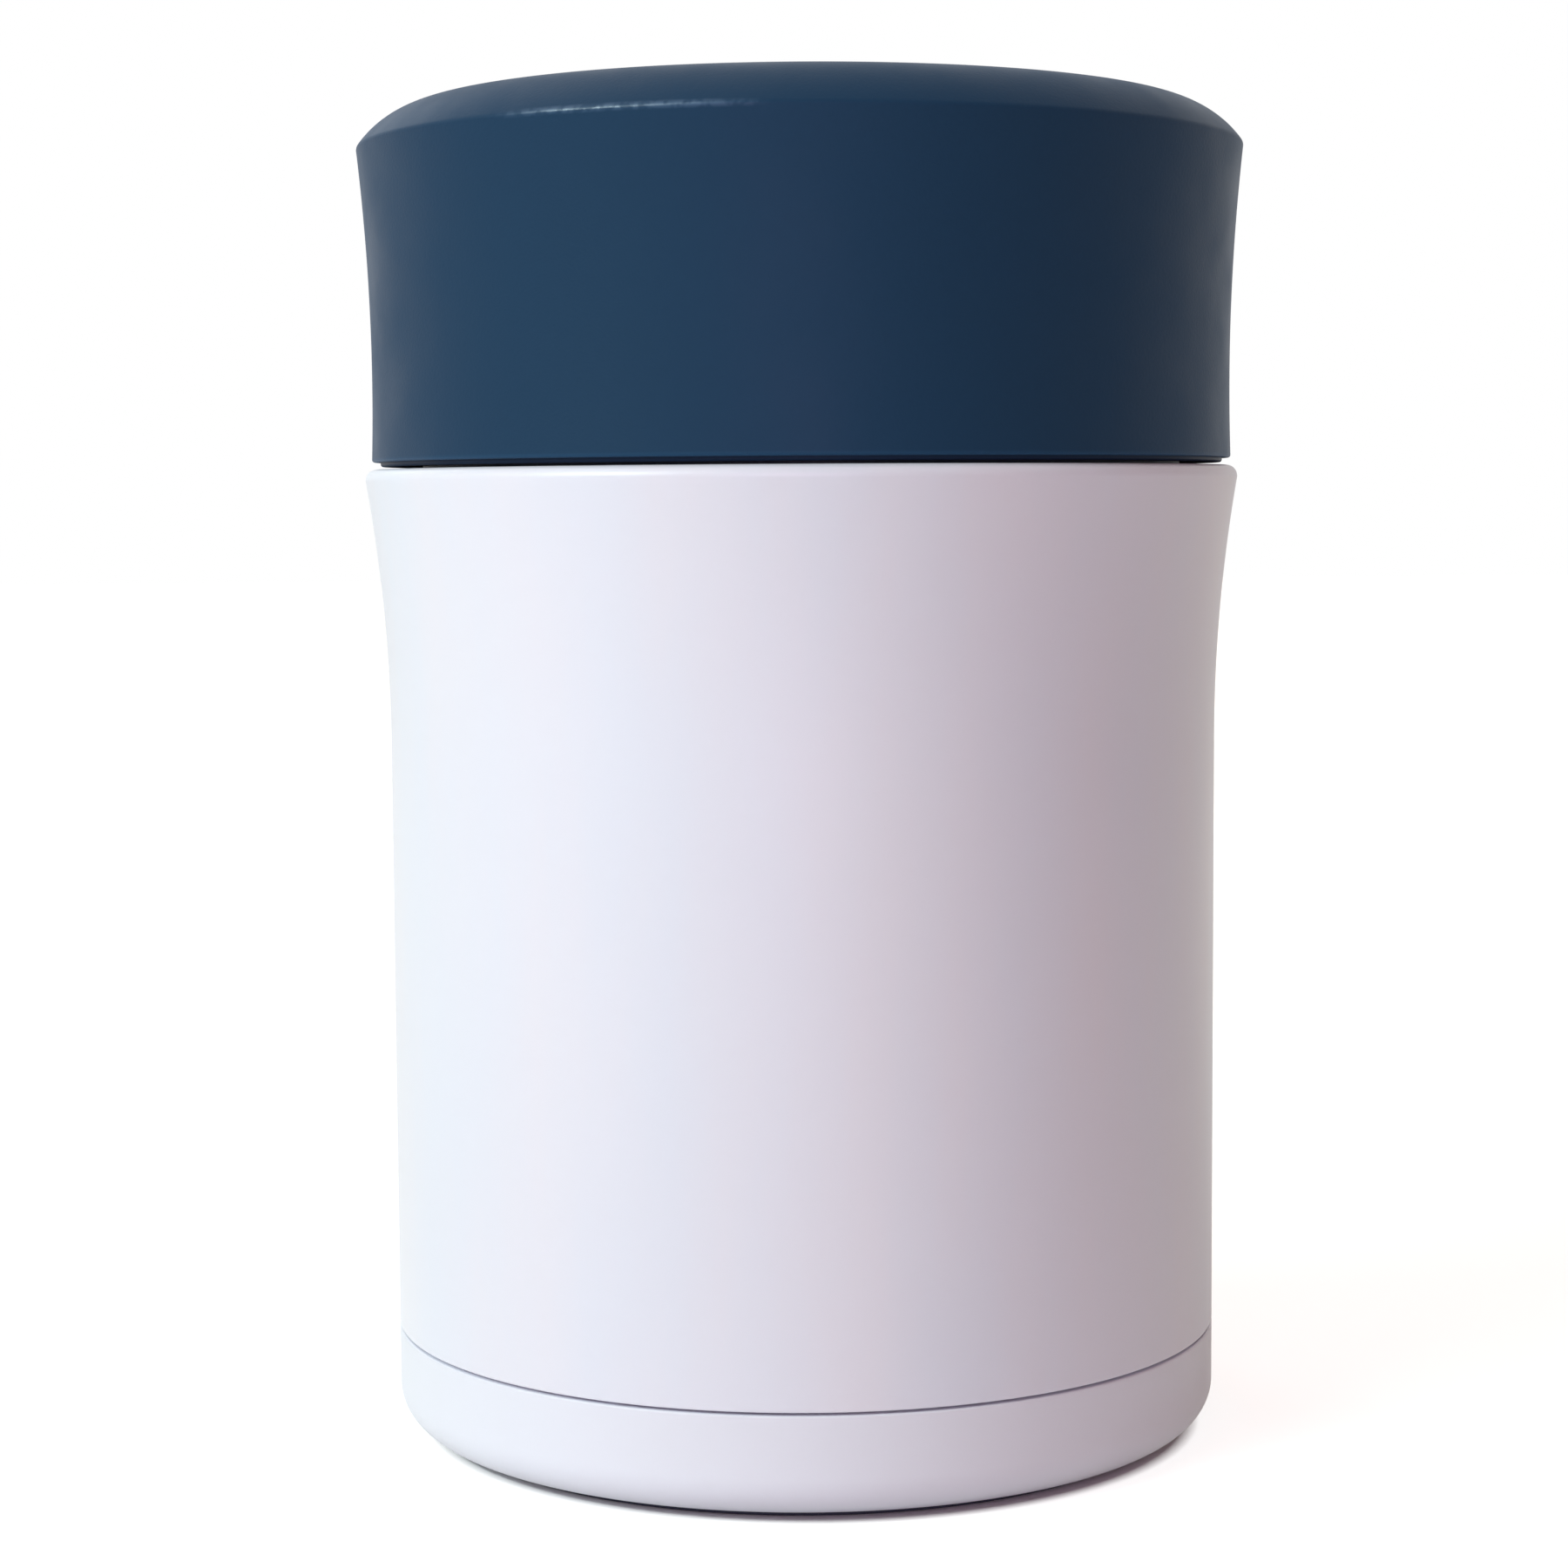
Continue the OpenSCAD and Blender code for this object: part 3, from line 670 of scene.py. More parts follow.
FINISHES: dict[Slot, Finish] = {
    Slot.BODY_PAINT: SatinPaint("eeeef8"),
    Slot.BARE_STEEL: TurnedSteel("c9ccd0"),
    Slot.FOIL: CrinkledFoil("cfd2d6"),
    Slot.SEAL_BEAD: PressedPowder("7d7466", grain=0.5 * MM, metal=0.6, roughness=0.45),
    Slot.GETTER: PressedPowder("4b4b4d"),
    Slot.COLLAR_PLASTIC: MouldedPlastic("26384f", roughness=0.4, grain=0.5 * MM, depth=0.008 * MM),
    Slot.SILICONE: SoftRubber("d5dadb", roughness=0.42, glow=0.15),
    Slot.BASE_PLASTIC: MouldedPlastic(
        "f0f0fa", roughness=0.42, grain=0.5 * MM, depth=0.006 * MM, mottle=0.012
    ),
    Slot.BOND: SoftRubber("8f9296", roughness=0.5),
    # dark foot ring, which also stands in for the contact shade under the base: partly painted shade
    Slot.FOOT_RUBBER: SoftRubber("3c4252", roughness=0.7),
    Slot.FOAM: RigidFoam("efe7d2"),
    # lid plastic with a painted glint on the ridge and a painted highlight on the lower edge
    Slot.LID_PLASTIC: RidgedPlastic(
        "1b3954", mottle=0.03, gloss=0.1,
        ridge_z=top_of("lid_shell") - LID_DOME_H, low_z=low_of("lid_shell"),
    ),
    # navy lining whose own colour is not known, kept dark so that its lip in the gap under the lid reads as
    # shade: partly painted shade
    Slot.BOWL_PLASTIC: MouldedPlastic("1e2f47", grain=0.6 * MM, depth=0.005 * MM, mottle=0.03, gloss=0.08),
    Slot.STOPPER_PLASTIC: MouldedPlastic(
        "dcdddf", roughness=0.35, grain=0.5 * MM, depth=0.006 * MM, mottle=0.015
    ),
    Slot.COVER_PLASTIC: MouldedPlastic(
        "c9ccd1", roughness=0.42, grain=0.4 * MM, depth=0.012 * MM, mottle=0.02
    ),
    Slot.BUTTON_PLASTIC: MouldedPlastic("2c4a68", roughness=0.4, grain=0.4 * MM, depth=0.012 * MM),
    Slot.SPRING_STEEL: TurnedSteel("b4b7ba", roughness=0.22, line=0.2 * MM),
}


class Outline:
    """Closed outline in the XZ half-plane, drawn point by point and then carried round Z."""

    ROUND_STEP = 12.0  # largest angle of one straight piece in a rounded corner, in degrees
    ROUND_LEAST = 3  # fewest straight pieces in a rounded corner

    def __init__(self, r: float, z: float, rounding: float = 0.0) -> None:
        """Starts the outline at one point.

        Args:
            r: distance from the axis.
            z: height.
            rounding: radius of the corner there.
        """
        self.mesh = bmesh.new()
        self.first = self.mesh.verts.new((r, 0.0, z))
        self.last = self.first
        self.corners: list[tuple[bmesh.types.BMVert, float]] = []
        self._mark(rounding)

    def _mark(self, rounding: float = 0.0) -> None:
        """Notes a corner to be rounded."""
        if rounding > 0.0:
            self.corners.append((self.last, rounding))

    def path(self, *points: tuple[float, ...]) -> None:
        """Draws straight lines from point to point.

        Args:
            points: distance from the axis, height and, where the corner is rounded, its radius.
        """
        for r, z, *rounding in points:
            self.last = bmesh.ops.extrude_vert_indiv(self.mesh, verts=[self.last])["verts"][0]
            self.last.co = (r, 0.0, z)
            self._mark(*rounding)

    def arc(self, centre: Point, degrees: float, steps: int = 12, rounding: float = 0.0) -> None:
        """Draws an arc.

        Args:
            centre: distance of its centre from the axis, and the centre's height.
            degrees: angle of the arc, counter-clockwise where it is positive.
            steps: straight pieces in the arc.
            rounding: radius of the corner at its end.
        """
        made = bmesh.ops.spin(
            self.mesh, geom=[self.last], cent=(centre[0], 0.0, centre[1]), axis=(0.0, -1.0, 0.0),
            dvec=ORIGIN, angle=math.radians(degrees), steps=steps,
        )
        self.last = next(g for g in made["geom_last"] if isinstance(g, bmesh.types.BMVert))
        self._mark(rounding)

    def _round(self, corner: bmesh.types.BMVert, radius: float) -> None:
        """Rounds one corner.

        Args:
            corner: the corner's point.
            radius: radius of the rounding.
        """
        ways = [edge.other_vert(corner).co - corner.co for edge in corner.link_edges]
        inner = ways[0].angle(ways[1])
        segments = max(self.ROUND_LEAST, math.ceil(math.degrees(math.pi - inner) / self.ROUND_STEP))
        bmesh.ops.bevel(
            self.mesh, geom=[corner], offset=radius / math.tan(inner / 2), segments=segments,
            profile=ROUND_PROFILE, affect="VERTICES", material=-1, clamp_overlap=False,
        )

    def _carry(self, degrees: float, rise: float, steps: int, closed: bool) -> None:
        """Closes the outline, rounds its corners, drops edges on the axis and carries it round.

        Args:
            degrees: angle about the axis.
            rise: height gained on the way.
            steps: straight pieces on the way.
            closed: whether the end meets the start.
        """
        self.mesh.edges.new((self.last, self.first))
        for corner, radius in self.corners:
            self._round(corner, radius)
        for edge in [e for e in self.mesh.edges if max(abs(v.co.x) for v in e.verts) < ON_AXIS]:
            self.mesh.edges.remove(edge)
        bmesh.ops.spin(
            self.mesh, geom=self.mesh.verts[:] + self.mesh.edges[:], cent=ORIGIN, axis=UP,
            dvec=(0.0, 0.0, rise / steps), angle=math.radians(degrees), steps=steps, use_merge=closed,
        )

    def turned(self, fineness: Fineness) -> Mesh:
        """Turns the outline into a round solid."""
        self._carry(FULL_TURN, 0.0, fineness.value, True)
        return self.mesh

    def swept(self, degrees: float, rise: float, steps: int) -> Mesh:
        """Sweeps the outline along a screw line and closes both ends.

        Args:
            degrees: angle of the sweep.
            rise: height gained over the sweep.
            steps: straight pieces in the sweep.

        Returns:
            The swept mesh.
        """
        self._carry(degrees, rise, steps, False)
        ends = [edge for edge in self.mesh.edges if edge.is_boundary]
        bmesh.ops.holes_fill(self.mesh, edges=ends, sides=0)
        return self.mesh


def join(piece: Mesh, addition: Mesh) -> None:
    """Adds a copy of one mesh to another.

    Args:
        piece: mesh that grows.
        addition: mesh that is copied.
    """
    carrier = bpy.data.meshes.new("carrier")
    addition.to_mesh(carrier)
    piece.from_mesh(carrier)
    bpy.data.meshes.remove(carrier)


@dataclass(frozen=True)
class Thread:
    """Thread that two pieces share."""

    lead: float  # rise in one turn
    depth: float  # height of its ribs
    starts: int  # number of ribs round the wall


LID_THREAD = Thread(lead=16 * MM, depth=1.3 * MM, starts=4)
STOPPER_THREAD = Thread(lead=8 * MM, depth=1.1 * MM, starts=2)


@dataclass
class ThreadRibs:
    """Raised ribs of a thread on a round wall, run out softly at both ends."""

    thread: Thread  # the thread
    wall_r: float  # radius of the wall
    facing: Facing  # side of the wall that carries the ribs
    turn: float  # length of a rib in degrees
    low: float  # height of a rib's middle at its lower end
    root_width: float = 1.7 * MM  # width of a rib inside the wall
    crest_width: float = 0.8 * MM  # width of the crest
    buried: float = 0.6 * MM  # depth of the root inside the wall
    crest_round: float = 0.25 * MM  # radius of the crest's edges
    run_out: float = 16.0  # length of each soft end in degrees
    step: float = 2.0  # length of one straight piece in degrees

    def _soften(self, rib: Mesh) -> None:
        """Draws both ends of a rib back to the wall.

        Args:
            rib: the rib's mesh.
        """
        for vert in rib.verts:
            radius = math.hypot(vert.co.x, vert.co.y)
            proud = radius - self.wall_r
            angle = (math.degrees(math.atan2(vert.co.y, vert.co.x)) + self.step) % FULL_TURN - self.step
            kept = smooth_step(min(angle, self.turn - angle) / self.run_out)
            if self.facing.value * proud > 0:
                vert.co.xy *= (self.wall_r + proud * kept) / radius

    def _one(self) -> Mesh:
        """Sweeps one rib.

        Returns:
            The rib's mesh.
        """
        root_r = self.wall_r - self.facing.value * self.buried
        crest_r = self.wall_r + self.facing.value * self.thread.depth
        section = Outline(root_r, self.low - self.root_width / 2)
        section.path(
            (crest_r, self.low - self.crest_width / 2, self.crest_round),
            (crest_r, self.low + self.crest_width / 2, self.crest_round),
            (root_r, self.low + self.root_width / 2),
        )
        rise = self.thread.lead * self.turn / FULL_TURN
        rib = section.swept(self.turn, rise, math.ceil(self.turn / self.step))
        self._soften(rib)
        return rib

    def add_to(self, piece: Mesh) -> None:
        """Adds all the ribs to a piece.

        Args:
            piece: mesh of the wall that carries the ribs.
        """
        rib = self._one()
        turn = Matrix.Rotation(math.tau / self.thread.starts, 3, "Z")
        for _ in range(self.thread.starts):
            join(piece, rib)
            bmesh.ops.rotate(rib, verts=rib.verts, cent=ORIGIN, matrix=turn)
        rib.free()


class Workshop:
    """Places finished meshes on the frame and keeps one material for each slot."""

    def __init__(self) -> None:
        """Starts with no materials made."""
        self.materials: dict[Slot, bpy.types.Material] = {}

    def finish(self, slot: Slot) -> bpy.types.Material:
        """Gives the material of a slot and makes it once.

        Args:
            slot: the record's material slot.

        Returns:
            The material.
        """
        if slot not in self.materials:
            self.materials[slot] = FINISHES[slot].make(slot.value)
        return self.materials[slot]

    def place(self, name: str, mesh: Mesh, body: Body, node: str, slot: Slot) -> bpy.types.Object:
        """Makes an object of a mesh that rides on a body in place of a CAD node.

        Args:
            name: name of the piece.
            mesh: the finished mesh.
            body: body that carries the piece.
            node: CAD node that the piece stands for.
            slot: material slot of the piece.

        Returns:
            The new object.
        """
        bmesh.ops.remove_doubles(mesh, verts=mesh.verts, dist=MERGE_GAP)
        bmesh.ops.recalc_face_normals(mesh, faces=mesh.faces)
        for face in mesh.faces:
            face.smooth = True
        data = bpy.data.meshes.new(name)
        mesh.to_mesh(data)
        mesh.free()
        data.set_sharp_from_angle(angle=math.radians(SHARP_ANGLE))
        data.materials.append(self.finish(slot))
        piece = bpy.data.objects.new(name, data)
        bpy.context.scene.collection.objects.link(piece)
        even = piece.modifiers.new("Even shading", "WEIGHTED_NORMAL")
        even.keep_sharp = True
        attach(piece, body.value)
        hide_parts(node)
        log.info("%s stands for %s on %s, %d faces", name, node, body.value, len(data.polygons))
        return piece

    def dress(self, slot: Slot, *nodes: str) -> None:
        """Gives CAD nodes that stay their finish.

        Args:
            slot: material slot of the nodes.
            nodes: names of the nodes.
        """
        for node in nodes:
            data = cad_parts[node].data
            data.materials.clear()
            data.materials.append(self.finish(slot))
            log.info("%s keeps its CAD shape with %s", node, slot.value)


@dataclass
class Lid:
    """Tall screw lid: the outer part, the lining that serves as a bowl, and the foam between."""

    low: float = low_of("lid_shell")  # height of the lower edge
    top: float = top_of("lid_shell")  # height of the top
    ridge_r: float = reach("lid_shell")  # radius of the ridge
    lip_r: float = reach("lid_bowl")  # radius of the lining's lip
    rim_z: float = low_of("lid_bowl")  # height of the lining's lower edge
    bowl_top: float = top_of("lid_bowl")  # height of the lining's upper face
    flare: float = 1.4 * MM  # how far the ridge stands out past the waist
    waist_h: float = 8.6 * MM  # height of the waist above the lower edge
    dome_h: float = LID_DOME_H  # height of the top above the ridge
    edge_round: float = 11.5 * MM  # radius of the rounded edge above the ridge
    wall: float = 2 * MM  # thickness of the skirt
    roof: float = 1.8 * MM  # thickness of the roof
    recess: float = 0.6 * MM  # depth of the recess in the top
    recess_r: float = 33 * MM  # radius of that recess
    inner_round: float = 3 * MM  # radius inside between wall and roof
    lip_h: float = 0.8 * MM  # height of the lining's lip inside the lower edge
    bowl_wall: float = 1.6 * MM  # thickness of the lining
    bowl_round: float = 6 * MM  # radius inside the lining between wall and floor
    ridge_round: float = 0.6 * MM  # radius of the ridge's fine edge
    fine_edge: float = 0.3 * MM  # radius of the other fine edges
    fit: float = 0.1 * MM  # gap between outer part and lining at the lip
    loose_fit: float = 0.2 * MM  # gap between skirt and lining
    rib_low: float = 1.15 * MM  # height of the ribs above the lining's lower edge
    rib_turn: float = 66.0  # length of a rib in degrees

    def __post_init__(self) -> None:
        """Works out what both pieces share."""
        self.waist_r = self.ridge_r - self.flare
        self.skirt_r = self.waist_r - self.wall
        self.lip_z = self.low + self.lip_h

    def outer(self) -> Mesh:
        """Turns the outer part.

        Returns:
            The mesh.
        """
        ridge_z = self.top - self.dome_h
        waist_z = self.low + self.waist_h
        rise = ridge_z - waist_z
        side_round = bow_radius(self.flare, rise)
        low_angle = math.asin(self.waist_h / side_round)
        high_angle = math.asin(rise / side_round)
        side = (self.waist_r + side_round, waist_z)
        low_r = side[0] - side_round * math.cos(low_angle)
        edge_z = self.top - self.edge_round
        edge_angle = math.asin((ridge_z - edge_z) / self.edge_round)
        edge_r = self.ridge_r - self.edge_round * math.cos(edge_angle)
        recess_z = self.top - self.recess
        roof_under = recess_z - self.roof
        corner = (self.skirt_r - self.inner_round, roof_under - self.inner_round)
        lip_bore = self.lip_r + self.fit

        line = Outline(low_r, self.low, self.fine_edge)
        line.arc(side, -math.degrees(low_angle + high_angle), steps=28, rounding=self.ridge_round)
        line.arc((edge_r, edge_z), QUARTER - math.degrees(edge_angle), steps=24)
        line.path(
            (self.recess_r + self.recess, self.top, self.fine_edge),
            (self.recess_r, recess_z, self.fine_edge),
            (0.0, recess_z), (0.0, roof_under), (corner[0], roof_under),
        )
        line.arc(corner, -QUARTER)
        line.path(
            (self.skirt_r, self.lip_z), (lip_bore, self.lip_z), (lip_bore, self.low, self.fine_edge / 2)
        )
        return line.turned(Fineness.LARGE)

    def lining(self) -> Mesh:
        """Turns the lining and adds its thread.

        Returns:
            The mesh.
        """
        outer_r = self.skirt_r - self.loose_fit
        bore = outer_r - self.bowl_wall
        ceiling = self.bowl_top - self.bowl_wall
        corner = (bore - self.bowl_round, ceiling - self.bowl_round)

        line = Outline(bore, self.rim_z, self.fine_edge)
        line.path(
            (self.lip_r, self.rim_z, self.fine_edge), (self.lip_r, self.lip_z),
            (outer_r, self.lip_z), (outer_r, corner[1]),
        )
        line.arc(corner, QUARTER)
        line.path((0.0, self.bowl_top), (0.0, ceiling), (corner[0], ceiling))
        line.arc(corner, -QUARTER)
        piece = line.turned(Fineness.MIDDLE)
        ribs = ThreadRibs(LID_THREAD, bore, Facing.INWARDS, self.rib_turn, self.rim_z + self.rib_low)
        ribs.add_to(piece)
        return piece

    def build(self, workshop: Workshop) -> None:
        """Builds and dresses the lid.

        Args:
            workshop: places the pieces on the frame.
        """
        workshop.place("lid_outer", self.outer(), Body.LID, "lid_shell", Slot.LID_PLASTIC)
        workshop.place("lid_lining", self.lining(), Body.LID, "lid_bowl", Slot.BOWL_PLASTIC)
        workshop.dress(Slot.FOAM, "lid_insulation")


@dataclass(frozen=True)
class NeckBead:
    """Rolled bead round the neck, which the collar follows."""

    middle: float = (low_of("neck_collar") + top_of("outer_shell")) / 2  # height of the bead's middle
    height: float = 2 * MM  # height of the bead
    proud: float = 0.4 * MM  # how far it stands out

    def points(self, radius: float) -> list[Point]:
        """Gives the bead's corners on a wall, from below.

        Args:
            radius: radius of the wall.

        Returns:
            The corners.
        """
        crest = radius + self.proud
        foot_h = self.height / 2
        crest_h = self.height / 4
        return [
            (radius, self.middle - foot_h), (crest, self.middle - crest_h),
            (crest, self.middle + crest_h), (radius, self.middle + foot_h),
        ]


NECK_BEAD = NeckBead()


@dataclass
class Vessel:
    """Double-walled steel body: the painted outside and what its vacuum holds."""

    body_r: float = reach("base_cap")  # radius of the straight part
    shoulder_r: float = reach("outer_shell")  # radius of the shoulder
    low: float = low_of("outer_shell")  # height of the plate that closes the shell
    neck_top: float = top_of("outer_shell")  # height of the neck's upper end
    cap_top: float = top_of("base_cap")  # height of the base cap's upper edge
    body_h: float = low_of("neck_collar")  # height of the shoulder
    seam_gap: float = 0.3 * MM  # width of the seam above the base cap
    flare_h: float = 30 * MM  # height over which the body flares out
    shoulder_round: float = 1.2 * MM  # radius of the shoulder's outer edge
    neck_r: float = 40.6 * MM  # radius of the neck
    neck_round: float = 0.6 * MM  # radius where the shoulder turns up into the neck
    spigot_r: float = 44.6 * MM  # radius inside the base cap
    steel: float = 0.5 * MM  # thickness of the sheet
    seam_edge: float = 0.25 * MM  # radius of the edge at the seam

    def shell(self) -> Mesh:
        """Turns the painted outer shell.

        Returns:
            The mesh.
        """
        flare_rise = self.flare_h - self.shoulder_round
        whole_round = bow_radius(self.shoulder_r - self.body_r, flare_rise)
        angle = math.degrees(math.asin(flare_rise / whole_round))
        flare_z = self.body_h - self.flare_h
        flare = (self.body_r + whole_round - self.shoulder_round, flare_z)
        edge = (self.shoulder_r - self.shoulder_round, self.body_h - self.shoulder_round)
        neck = (self.neck_r + self.neck_round, self.body_h + self.neck_round)
        step_z = self.cap_top + self.seam_gap
        ledge_z = step_z + self.steel
        neck_bore = self.neck_r - self.steel
        spigot_bore = self.spigot_r - self.steel

        line = Outline(self.spigot_r, self.low)
        line.path((self.spigot_r, step_z), (self.body_r, step_z, self.seam_edge), (self.body_r, flare_z))
        line.arc(flare, -angle, steps=24)
        line.arc(edge, QUARTER + angle, steps=16)
        line.path((neck[0], self.body_h))
        line.arc(neck, -QUARTER, steps=6)
        line.path(*NECK_BEAD.points(self.neck_r), (self.neck_r, self.neck_top), (neck_bore, self.neck_top))
        line.path(*reversed(NECK_BEAD.points(neck_bore)), (neck_bore, neck[1]))
        line.arc(neck, QUARTER, steps=6)
        line.path((edge[0], self.body_h - self.steel))
        line.arc(edge, -QUARTER - angle, steps=8)
        line.arc(flare, angle)
        line.path((self.body_r - self.steel, ledge_z), (spigot_bore, ledge_z), (spigot_bore, self.low))
        return line.turned(Fineness.LARGE)

    def build(self, workshop: Workshop) -> None:
        """Builds and dresses the vessel.

        Args:
            workshop: places the pieces on the frame.
        """
        workshop.place("body_wall", self.shell(), Body.JAR, "outer_shell", Slot.BODY_PAINT)
        workshop.dress(Slot.BARE_STEEL, "inner_liner", "outer_bottom", "getter_holder")
        workshop.dress(Slot.SEAL_BEAD, "evacuation_seal")
        workshop.dress(Slot.FOIL, "radiation_foil")
        workshop.dress(Slot.GETTER, "getter_pellet")


@dataclass
class Base:
    """Moulded cap under the steel body, with the soft ring that the jar stands on."""

    low: float = low_of("base_cap")  # height of the cap's underside
    top: float = top_of("base_cap")  # height of the cap's upper edge
    body_r: float = reach("base_cap")  # radius of the cap
    foot_r: float = reach("foot_ring")  # outer radius of the foot ring
    foot_top: float = top_of("foot_ring")  # height of the foot ring
    edge_round: float = 4.5 * MM  # radius of the cap's lower edge
    wall: float = 1.8 * MM  # thickness of the cap's wall
    floor: float = 2.2 * MM  # thickness of the cap's floor
    inner_round: float = 1.6 * MM  # radius inside the cap
    seam_edge: float = 0.25 * MM  # radius of the edge at the seam
    foot_w: float = 5 * MM  # width of the foot ring
    foot_edge: float = 0.4 * MM  # radius of the foot ring's lower edges
    fit: float = 0.1 * MM  # gap round the foot ring

    def __post_init__(self) -> None:
        """Works out what both pieces share."""
        self.foot_in = self.foot_r - self.foot_w

    def cap(self) -> Mesh:
        """Turns the cap.

        Returns:
            The mesh.
        """
        bore = self.body_r - self.wall
        floor_z = self.low + self.floor
        edge = (self.body_r - self.edge_round, self.low + self.edge_round)
        corner = (bore - self.inner_round, floor_z + self.inner_round)
        groove_out = self.foot_r + self.fit
        groove_in = self.foot_in - self.fit

        line = Outline(bore, self.top, self.seam_edge)
        line.path((self.body_r, self.top, self.seam_edge), (self.body_r, edge[1]))
        line.arc(edge, -QUARTER, steps=16)
        line.path(
            (groove_out, self.low, self.fit), (groove_out, self.foot_top),
            (groove_in, self.foot_top), (groove_in, self.low, self.fit),
            (0.0, self.low), (0.0, floor_z), (corner[0], floor_z),
        )
        line.arc(corner, QUARTER, steps=6)
        return line.turned(Fineness.LARGE)

    def foot(self) -> Mesh:
        """Turns the foot ring.

        Returns:
            The mesh.
        """
        line = Outline(self.foot_in, 0.0, self.foot_edge)
        line.path(
            (self.foot_r, 0.0, self.foot_edge), (self.foot_r, self.foot_top), (self.foot_in, self.foot_top)
        )
        return line.turned(Fineness.MIDDLE)

    def build(self, workshop: Workshop) -> None:
        """Builds and dresses the base.

        Args:
            workshop: places the pieces on the frame.
        """
        workshop.place("base_cover", self.cap(), Body.JAR, "base_cap", Slot.BASE_PLASTIC)
        workshop.place("foot_pad", self.foot(), Body.JAR, "foot_ring", Slot.FOOT_RUBBER)
        workshop.dress(Slot.BOND, "base_bond")


@dataclass
class Collar:
    """Moulded collar on the neck: threaded outside for the lid and inside for the stopper."""

    low: float = low_of("neck_collar")  # height of the shoulder that it stands on
    top: float = top_of("neck_collar")  # height of its upper end
    ledge_z: float = top_of("collar_seal")  # height of the ledge over the steel rim
    outer_r: float = 42.5 * MM  # radius of its outer wall
    bore_r: float = 40.7 * MM  # radius round the neck
    mouth_r: float = 39.6 * MM  # radius of its inner wall above the ledge
    edge: float = 0.7 * MM  # radius of its outer upper edge
    foot_edge: float = 0.7 * MM  # chamfer that clears the curve between shoulder and neck
    lid_rib_z: float = 2.76 * MM  # height of the lid's ribs above the shoulder
    lid_rib_turn: float = 180.0  # length of one of them in degrees
    stopper_rib_z: float = 4.09 * MM  # depth of the stopper's ribs below the top
    stopper_rib_turn: float = 110.0  # length of one of them in degrees

    def ring(self) -> Mesh:
        """Turns the collar and adds both threads.

        Returns:
            The mesh.
        """
        lid_z = self.low + self.lid_rib_z
        stopper_z = self.top - self.stopper_rib_z
        line = Outline(self.bore_r + self.foot_edge, self.low)
        line.path(
            (self.outer_r, self.low), (self.outer_r, self.top, self.edge),
            (self.mouth_r, self.top, self.edge / 2), (self.mouth_r, self.ledge_z),
            (self.bore_r, self.ledge_z), *reversed(NECK_BEAD.points(self.bore_r)),
            (self.bore_r, self.low + self.foot_edge),
        )
        piece = line.turned(Fineness.MIDDLE)
        for ribs in (
            ThreadRibs(LID_THREAD, self.outer_r, Facing.OUTWARDS, self.lid_rib_turn, lid_z),
            ThreadRibs(STOPPER_THREAD, self.mouth_r, Facing.INWARDS, self.stopper_rib_turn, stopper_z),
        ):
            ribs.add_to(piece)
        return piece

    def build(self, workshop: Workshop) -> None:
        """Builds and dresses the collar."""
        workshop.place("collar", self.ring(), Body.JAR, "neck_collar", Slot.COLLAR_PLASTIC)
        workshop.dress(Slot.SILICONE, "collar_seal")


